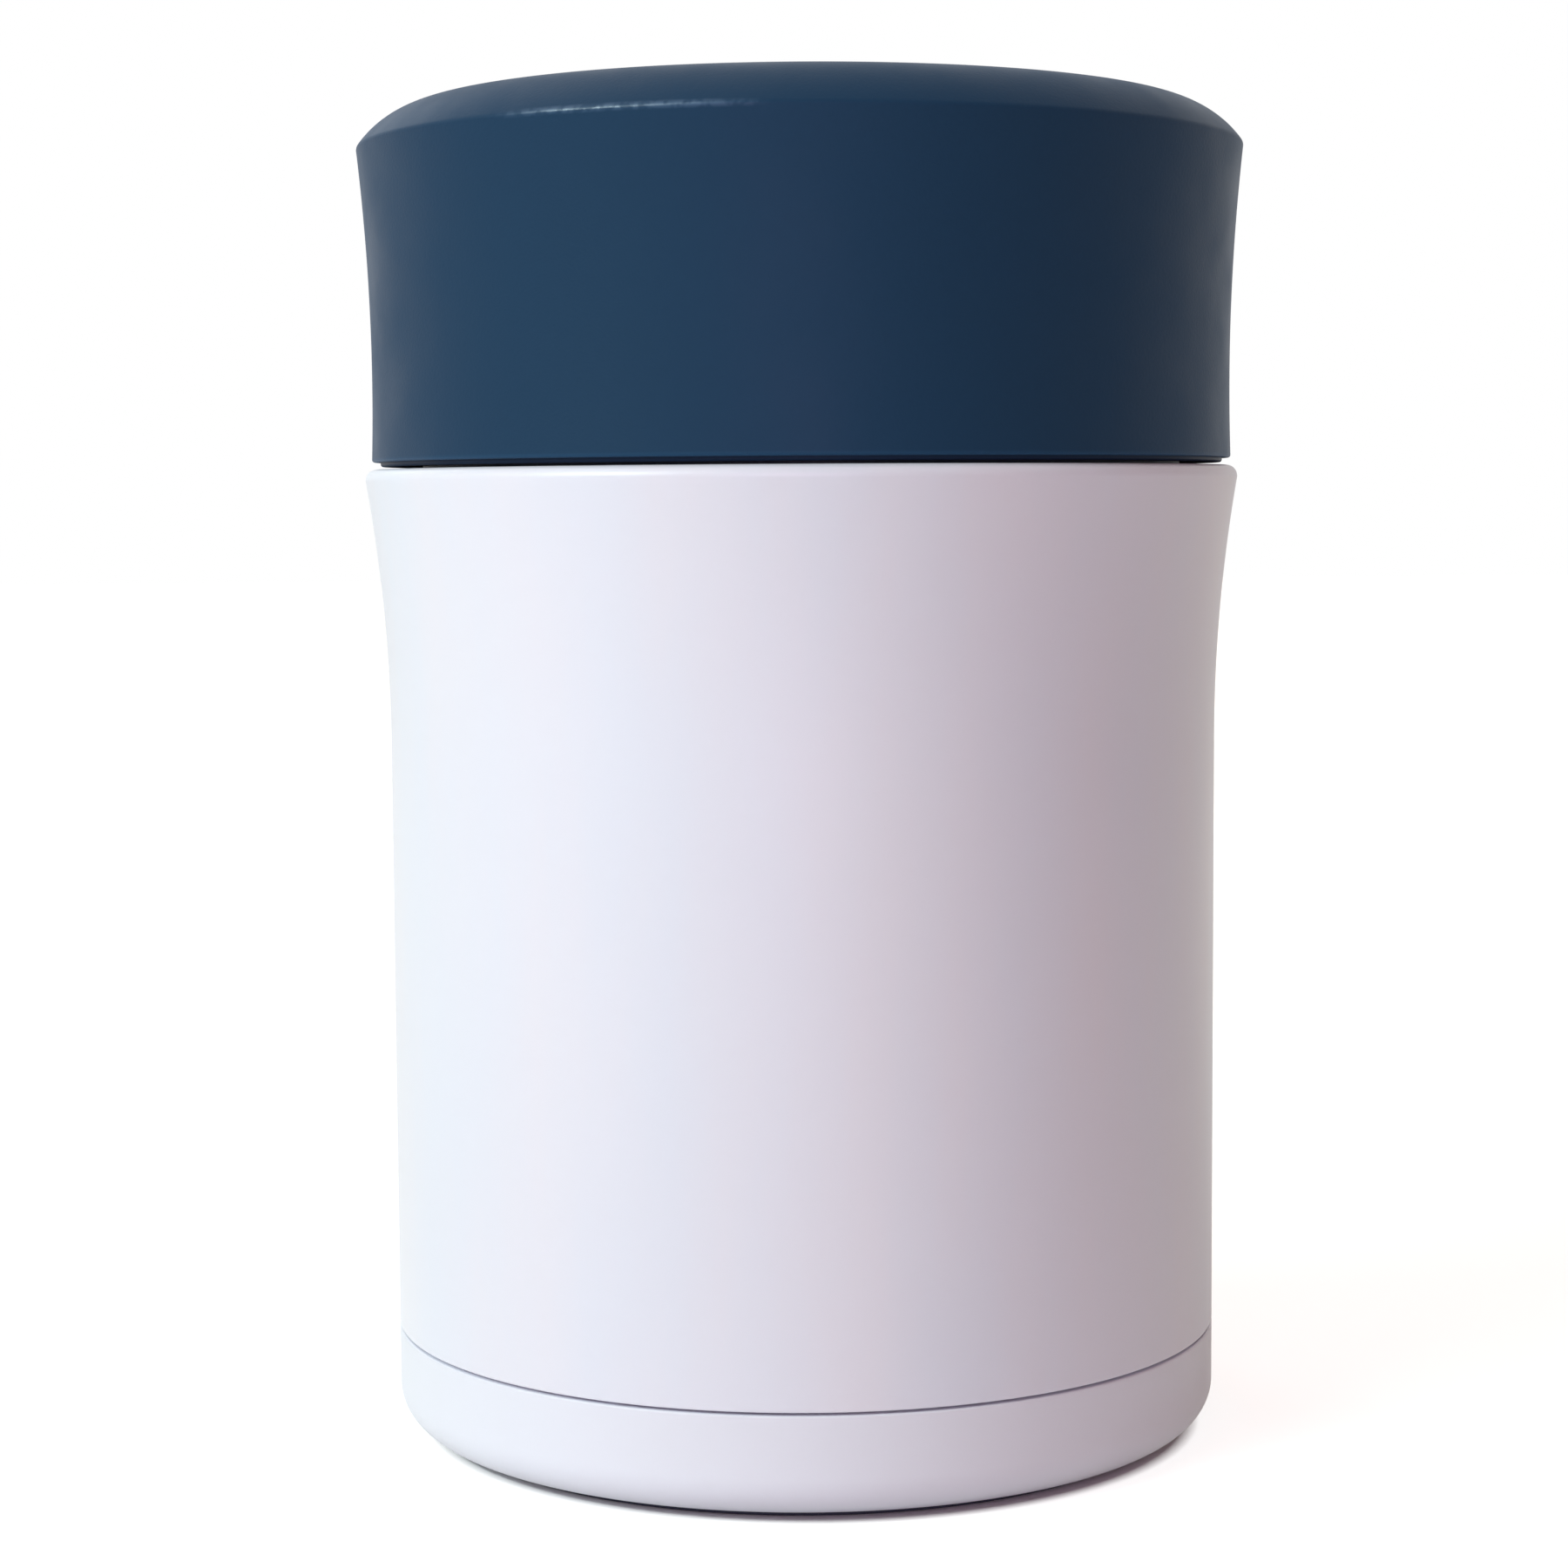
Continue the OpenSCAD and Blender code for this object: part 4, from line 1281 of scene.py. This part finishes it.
@dataclass
class Stopper:
    """Screw stopper: plug, cover with finger recess and grip bar, gasket and foam."""

    plug_z: float = low_of("stopper_body")  # height of the plug's underside
    flange_top: float = top_of("stopper_body")  # height of the flange's upper face
    flange_r: float = reach("stopper_body")  # radius of the flange
    cover_low: float = low_of("stopper_cover")  # height of the underside of the finger recess
    cover_top: float = top_of("stopper_cover")  # height of the cover's upper face
    cover_r: float = reach("stopper_cover")  # radius of the cover
    gasket_low: float = low_of("stopper_gasket")  # height of the gasket's underside
    gasket_top: float = top_of("stopper_gasket")  # height of its upper face
    gasket_r: float = reach("stopper_gasket")  # its outer radius
    gasket_w: float = 1.4 * MM  # its width
    gasket_groove: float = 0.6 * MM  # depth of the groove that holds it
    flange_t: float = 2.4 * MM  # thickness of the flange
    plug_r: float = 37.6 * MM  # radius of the plug
    plug_bore: float = 36 * MM  # radius inside the plug
    plug_wall: float = 1.6 * MM  # thickness of the plug's floor
    plug_round: float = 3 * MM  # radius of the plug's lower edge
    root_r: float = 38.1 * MM  # radius of the wall that carries the thread
    thread_low: float = top_of("collar_seal")  # height at which that wall starts
    thread_gap: float = 0.4 * MM  # height of the slope below that wall
    rib_rise: float = 1.25 * MM  # height of the ribs' lower ends above the foot of that wall
    rib_turn: float = 100.0  # length of a rib in degrees
    well_r: float = 9 * MM  # radius of the well round the valve
    well_depth: float = 3.6 * MM  # depth of that well
    vent_r: float = 2.6 * MM  # radius of the vent hole
    guide_r: float = 4.45 * MM  # radius inside the spring guide
    guide_wall: float = 1.4 * MM  # thickness of the spring guide
    guide_gap: float = 0.05 * MM  # gap between the spring guide and the pressed button
    grip_r: float = 31 * MM  # outer radius of the finger recess
    hub_r: float = 12 * MM  # radius of the hub
    hub_bore: float = 8.3 * MM  # radius round the button
    counterbore: float = 9.7 * MM  # radius round the button's flange
    stop_depth: float = 5.5 * MM  # depth of the button's stop below the cover's upper face
    bar_w: float = 11 * MM  # width of the grip bar
    bar_round: float = 1.2 * MM  # radius of the grip bar's upper edges
    bar_steps: int = 6  # straight pieces in the rounding of those edges
    bar_drop: float = 0.15 * MM  # how far the grip bar stays within the cover's faces
    cover_wall: float = 1.6 * MM  # thickness of the cover's walls
    rim_h: float = 3 * MM  # depth of the rim that centres the cover
    loose_fit: float = 0.2 * MM  # gap between that rim and the plug
    fit: float = 0.1 * MM  # gap round the gasket
    edge: float = 0.7 * MM  # radius of the outer edges
    deep_round: float = 2 * MM  # radius at the bottom of the finger recess

    def plug(self) -> Mesh:
        """Turns the plug with its flange, well and spring guide, and adds its thread.

        Returns:
            The mesh.
        """
        flange_low = self.flange_top - self.flange_t
        groove_in = self.gasket_r - self.gasket_w - self.fit
        groove_out = self.gasket_r + self.fit
        groove_z = flange_low + self.gasket_groove
        edge = (self.plug_r - self.plug_round, self.plug_z + self.plug_round)
        floor_z = self.plug_z + self.plug_wall
        well_z = self.plug_z + self.well_depth
        well_out = self.well_r + self.plug_wall
        well_top = well_z + self.plug_wall
        guide_out = self.guide_r + self.guide_wall
        guide_top = low_of("vent_button") - BUTTON_TRAVEL - self.guide_gap
        rib_low = self.thread_low + self.rib_rise

        line = Outline(self.vent_r, well_z)
        line.path((self.well_r, well_z), (self.well_r, self.plug_z, self.edge / 2), (edge[0], self.plug_z))
        line.arc(edge, QUARTER, steps=10)
        line.path(
            (self.plug_r, self.thread_low - self.thread_gap),
            (self.root_r, self.thread_low), (self.root_r, flange_low),
            (groove_in, flange_low), (groove_in, groove_z), (groove_out, groove_z), (groove_out, flange_low),
            (self.flange_r, flange_low, self.edge / 2), (self.flange_r, self.flange_top, self.edge),
            (self.plug_bore, self.flange_top), (self.plug_bore, floor_z),
            (well_out, floor_z), (well_out, well_top),
            (guide_out, well_top), (guide_out, guide_top),
            (self.guide_r, guide_top), (self.guide_r, well_top), (self.vent_r, well_top),
        )
        piece = line.turned(Fineness.MIDDLE)
        ThreadRibs(STOPPER_THREAD, self.root_r, Facing.OUTWARDS, self.rib_turn, rib_low).add_to(piece)
        return piece

    def _bar(self, side: int) -> Mesh:
        """Makes one half of the grip bar.

        Args:
            side: 1 for the half along +X and -1 for the other.

        Returns:
            The mesh.
        """
        start = self.hub_r - self.cover_wall
        end = self.grip_r + self.cover_wall / 2
        top = self.cover_top - self.bar_drop
        size = Vector((end - start, self.bar_w, top - self.cover_low - self.bar_drop))
        middle = Vector((side * (start + end) / 2, 0.0, top - size.z / 2))
        bar = bmesh.new()
        bmesh.ops.create_cube(bar, size=1.0)
        bmesh.ops.scale(bar, vec=size, verts=bar.verts)
        bmesh.ops.translate(bar, vec=middle, verts=bar.verts)
        upper = [edge for edge in bar.edges if min(v.co.z for v in edge.verts) > middle.z]
        crests = [edge for edge in upper if abs(edge.verts[0].co.y - edge.verts[1].co.y) < self.bar_w / 2]
        bmesh.ops.bevel(
            bar, geom=crests, offset=self.bar_round, offset_type="OFFSET", segments=self.bar_steps,
            profile=ROUND_PROFILE, affect="EDGES", material=-1, clamp_overlap=True,
        )
        return bar

    def cover(self) -> Mesh:
        """Turns the cover and adds the grip bar.

        Returns:
            The mesh.
        """
        stop_z = self.cover_top - self.stop_depth
        grip_z = self.cover_low + self.cover_wall
        rim_z = self.flange_top - self.rim_h
        rim_out = self.plug_bore - self.loose_fit
        rim_in = rim_out - self.cover_wall
        wall_out = self.grip_r + self.cover_wall

        line = Outline(self.hub_bore, self.cover_top, self.edge / 2)
        line.path(
            (self.hub_bore, stop_z), (self.counterbore, stop_z), (self.counterbore, self.cover_low),
            (wall_out, self.cover_low), (wall_out, self.flange_top),
            (rim_in, self.flange_top), (rim_in, rim_z), (rim_out, rim_z), (rim_out, self.flange_top),
            (self.cover_r, self.flange_top), (self.cover_r, self.cover_top, self.edge),
            (self.grip_r, self.cover_top, self.edge), (self.grip_r, grip_z, self.deep_round),
            (self.hub_r, grip_z, self.deep_round), (self.hub_r, self.cover_top, self.edge),
        )
        piece = line.turned(Fineness.MIDDLE)
        for side in (1, -1):
            bar = self._bar(side)
            join(piece, bar)
            bar.free()
        return piece

    def gasket(self) -> Mesh:
        """Turns the gasket with a rounded lower edge.

        Returns:
            The mesh.
        """
        inner = self.gasket_r - self.gasket_w
        rounding = self.gasket_w / 3
        line = Outline(inner, self.gasket_low, rounding)
        line.path(
            (self.gasket_r, self.gasket_low, rounding), (self.gasket_r, self.gasket_top),
            (inner, self.gasket_top),
        )
        return line.turned(Fineness.MIDDLE)

    def build(self, workshop: Workshop) -> None:
        """Builds and dresses the stopper.

        Args:
            workshop: places the pieces on the frame.
        """
        workshop.place("stopper_plug", self.plug(), Body.STOPPER, "stopper_body", Slot.STOPPER_PLASTIC)
        workshop.place("stopper_top", self.cover(), Body.STOPPER, "stopper_cover", Slot.COVER_PLASTIC)
        workshop.place("sealing_ring", self.gasket(), Body.STOPPER, "stopper_gasket", Slot.SILICONE)
        workshop.dress(Slot.FOAM, "stopper_insulation")


@dataclass
class Vent:
    """Vent in the stopper: push button, stem with its seal, and the spring under the button."""

    button_low: float = low_of("vent_button")  # height of the button's underside
    button_top: float = top_of("vent_button")  # height of the button's top
    flange_r: float = reach("vent_button")  # radius of the button's flange
    spring_low: float = low_of("vent_spring")  # height of the spring's lower end
    spring_top: float = top_of("vent_spring")  # height of the spring's upper end
    flange_t: float = 1.2 * MM  # thickness of the button's flange
    button_r: float = 8 * MM  # radius of the button
    rim: float = 1.4 * MM  # width of the button's flat rim
    dish: float = 0.5 * MM  # depth of the finger dish
    dish_r: float = 4 * MM  # radius of the dish's flat middle
    dish_round: float = 2.4 * MM  # radius of the dish's curves
    edge: float = 0.6 * MM  # radius of the button's upper edge
    bore: float = 1.9 * MM  # radius round the stem
    hold: float = 4 * MM  # length of the stem in the button
    spring_r: float = 3.5 * MM  # middle radius of the spring
    wire_r: float = 0.35 * MM  # radius of the spring's wire
    wire_sides: int = 12  # straight sides round the wire
    turns: int = 6  # turns of the spring
    turn_steps: int = 36  # straight pieces in one turn
    travel: float = BUTTON_TRAVEL  # travel of the button

    def button(self) -> Mesh:
        """Turns the button with its finger dish.

        Returns:
            The mesh.
        """
        hold_z = self.button_low + self.hold
        stop_z = self.button_low + self.flange_t
        dish_z = self.button_top - self.dish
        line = Outline(0.0, hold_z)
        line.path(
            (self.bore, hold_z), (self.bore, self.button_low),
            (self.flange_r, self.button_low), (self.flange_r, stop_z),
            (self.button_r, stop_z), (self.button_r, self.button_top, self.edge),
            (self.button_r - self.rim, self.button_top, self.dish_round),
            (self.dish_r, dish_z, self.dish_round), (0.0, dish_z),
        )
        return line.turned(Fineness.SMALL)

    def spring(self) -> Mesh:
        """Winds the spring.

        Returns:
            The mesh.
        """
        low = self.spring_low + self.wire_r
        rise = self.spring_top - self.spring_low - 2 * self.wire_r
        line = Outline(self.spring_r + self.wire_r, low)
        line.arc((self.spring_r, low), FULL_TURN - FULL_TURN / self.wire_sides, self.wire_sides - 1)
        return line.swept(FULL_TURN * self.turns, rise, self.turn_steps * self.turns)

    def build(self, workshop: Workshop) -> None:
        """Builds and dresses the vent.

        Args:
            workshop: places the pieces on the frame.
        """
        workshop.place("push_button", self.button(), Body.VENT, "vent_button", Slot.BUTTON_PLASTIC)
        coil = workshop.place("coil", self.spring(), Body.STOPPER, "vent_spring", Slot.SPRING_STEEL)
        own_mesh(coil)
        workshop.dress(Slot.BARE_STEEL, "vent_stem")
        workshop.dress(Slot.SILICONE, "vent_valve")


@dataclass(frozen=True)
class SoftLamp:
    """Large soft lamp that faces the jar."""

    name: str  # name of the lamp
    place: Place  # where it hangs
    size: Pair  # width and height
    power: float  # power in watts
    colour: str  # display colour of its light in hexadecimal
    aim_z: float = 80 * MM  # height on the jar's axis that it faces

    def hang(self) -> None:
        """Hangs the lamp in the scene."""
        data = bpy.data.lights.new(self.name, "AREA")
        data.shape = "RECTANGLE"
        data.size, data.size_y = self.size
        data.energy = self.power
        data.color = linear(self.colour)[:3]
        lamp = bpy.data.objects.new(self.name, data)
        lamp.location = self.place
        way = Vector((0.0, 0.0, self.aim_z)) - lamp.location
        lamp.rotation_euler = way.to_track_quat("-Z", "Y").to_euler()
        bpy.context.scene.collection.objects.link(lamp)


LAMPS = (
    SoftLamp("key", place=(-0.74, -0.52, 0.71), size=(0.8, 0.8), power=4.75, colour="e6fcf8"),
    SoftLamp("window", place=(-0.74, -0.52, 0.6), size=(0.36, 0.06), power=3.42, colour="e6fcf8"),
    SoftLamp("front", place=(-0.05, -1.1, 0.3), size=(0.5, 0.5), power=1.84, colour="fdcfff"),
    SoftLamp("top", place=(-0.3, 0.1, 1.1), size=(0.8, 0.8), power=1.2, colour="f6fffe"),
    SoftLamp("back", place=(-0.6, 0.75, 0.7), size=(0.5, 0.5), power=0.65, colour="e8f4ff"),
)


@dataclass
class Studio:
    """Camera, white surroundings and pale floor."""

    distance: float = 387.3 * MM  # distance of the camera from the axis
    eye_z: float = 105.25 * MM  # height of the camera
    lens: float = 78.3  # focal length in millimetres
    sensor: float = 36.0  # width of the sensor in millimetres
    near: float = 10 * MM  # distance from which the camera sees
    pitch: float = 4.8  # how far the camera looks down, in degrees
    yaw: float = 0.316  # how far the camera looks to the left, in degrees
    roll: float = 0.34  # how far the camera leans clockwise, in degrees
    ambient: str = "ffdabf"  # display colour of the light from all round
    ambient_level: float = 0.2  # level of that light
    floor_size: float = 8.0  # side of the floor
    floor_tone: float = 0.93  # share of light that the floor gives back
    shade_middle: Place = (0.6 * MM, 0.3 * MM, 0.0)  # middle of the shade, away from the lamps
    contact_r: float = 42.8 * MM  # radius of the shade within which the floor stays dark
    open_r: float = 44.6 * MM  # radius from which the floor looks white
    open_lift: float = 0.75  # light added to what is seen of the open floor
    shade_ring_r: float = 51 * MM  # radius up to which the floor counts as close to the foot, where it is darker to shade the jar's lower edge: painted shade
    shade_ring_tone: float = 0.55  # share of light that the floor gives back there, darker so that less light bounces onto the jar's lower edge: painted shade
    shade_ring_lift: float = 0.1  # light added to what is seen of the floor there, to make up for it, so that the darker ring still looks white
    lit_r: float = 200 * MM  # radius up to which the lamps light the floor well
    far_r: float = 700 * MM  # radius from which the floor looks white without the lamps
    mirrored: float = 0.7  # share of the added light that a reflection of the floor shows

    def camera(self) -> None:
        """Sets the camera where the photograph was taken from."""
        data = bpy.data.cameras.new("camera")
        data.lens = self.lens
        data.sensor_width = self.sensor
        data.clip_start = self.near
        eye = bpy.data.objects.new("camera", data)
        turn = Matrix.Rotation(math.radians(self.yaw), 4, "Z")
        tilt = Matrix.Rotation(math.radians(QUARTER - self.pitch), 4, "X")
        lean = Matrix.Rotation(math.radians(-self.roll), 4, "Z")
        eye.matrix_world = Matrix.Translation((0.0, -self.distance, self.eye_z)) @ turn @ tilt @ lean
        bpy.context.scene.collection.objects.link(eye)
        bpy.context.scene.camera = eye

    def surroundings(self) -> None:
        """Shows white behind the jar and in reflections, with a softer light on matt surfaces."""
        world = bpy.data.worlds.new("studio")
        bpy.context.scene.world = world
        world.use_nodes = True
        world.node_tree.nodes.clear()
        graph = NodeGraph(world.node_tree)
        glow = {"Color": linear(self.ambient), "Strength": self.ambient_level}
        ambient = graph.add("ShaderNodeBackground", glow)
        white = graph.add("ShaderNodeBackground", {"Color": WHITE})
        mix = graph.add("ShaderNodeMixShader", {"Fac": graph.seen(1.0)})
        graph.feed(mix.inputs[1], ambient.outputs["Background"])
        graph.feed(mix.inputs[2], white.outputs["Background"])
        graph.add("ShaderNodeOutputWorld", {"Surface": mix.outputs["Shader"]})

    def floor(self) -> None:
        """Lays a pale floor that looks white and keeps the jar's soft shadow, with a darker ring round the
        foot that paints shade onto the jar's lower edge.
        """
        grid = bmesh.new()
        bmesh.ops.create_grid(grid, x_segments=1, y_segments=1, size=self.floor_size / 2)
        data = bpy.data.meshes.new("floor")
        grid.to_mesh(data)
        grid.free()
        graph = ShaderGraph("pale floor", WHITE)
        radius = graph.distance(self.shade_middle)
        clear = graph.ranged(radius, 0.0, 1.0, self.contact_r, self.open_r)
        # painted shade: a darker floor ring round the foot bounces less light onto the jar's lower edge and
        # is lifted back to white where seen
        inner = graph.ranged(radius, 1.0, 0.0, self.open_r, self.shade_ring_r)
        shade_ring = graph.maths("MULTIPLY", clear, inner)
        lift = graph.ranged(radius, 0.0, 1.0 - self.open_lift, self.lit_r, self.far_r)
        for share, level in ((clear, self.open_lift), (shade_ring, self.shade_ring_lift)):
            lift = graph.maths("MULTIPLY_ADD", share, level, lift)
        graph.set({
            "Base Color": graph.tinted(shade_ring, graph.tone(self.floor_tone), graph.tone(self.shade_ring_tone)),
            "Roughness": 1.0,
            "Specular IOR Level": 0.0,
            "Emission Color": WHITE,
            "Emission Strength": graph.maths("MULTIPLY", lift, graph.seen(self.mirrored)),
        })
        data.materials.append(graph.material)
        plane = bpy.data.objects.new("floor", data)
        bpy.context.scene.collection.objects.link(plane)

    def build(self) -> None:
        """Sets up the studio."""
        bpy.context.scene.view_settings.view_transform = "Standard"
        self.camera()
        for lamp in LAMPS:
            lamp.hang()
        self.surroundings()
        self.floor()


def main() -> None:
    """Builds every sub-assembly, dresses it and sets up the studio."""
    logging.basicConfig(level=logging.INFO, format="%(message)s")
    workshop = Workshop()
    for assembly in (Vessel(), Base(), Collar(), Stopper(), Vent(), Lid()):
        assembly.build(workshop)
    Studio().build()


if __name__ == "__main__":
    main()
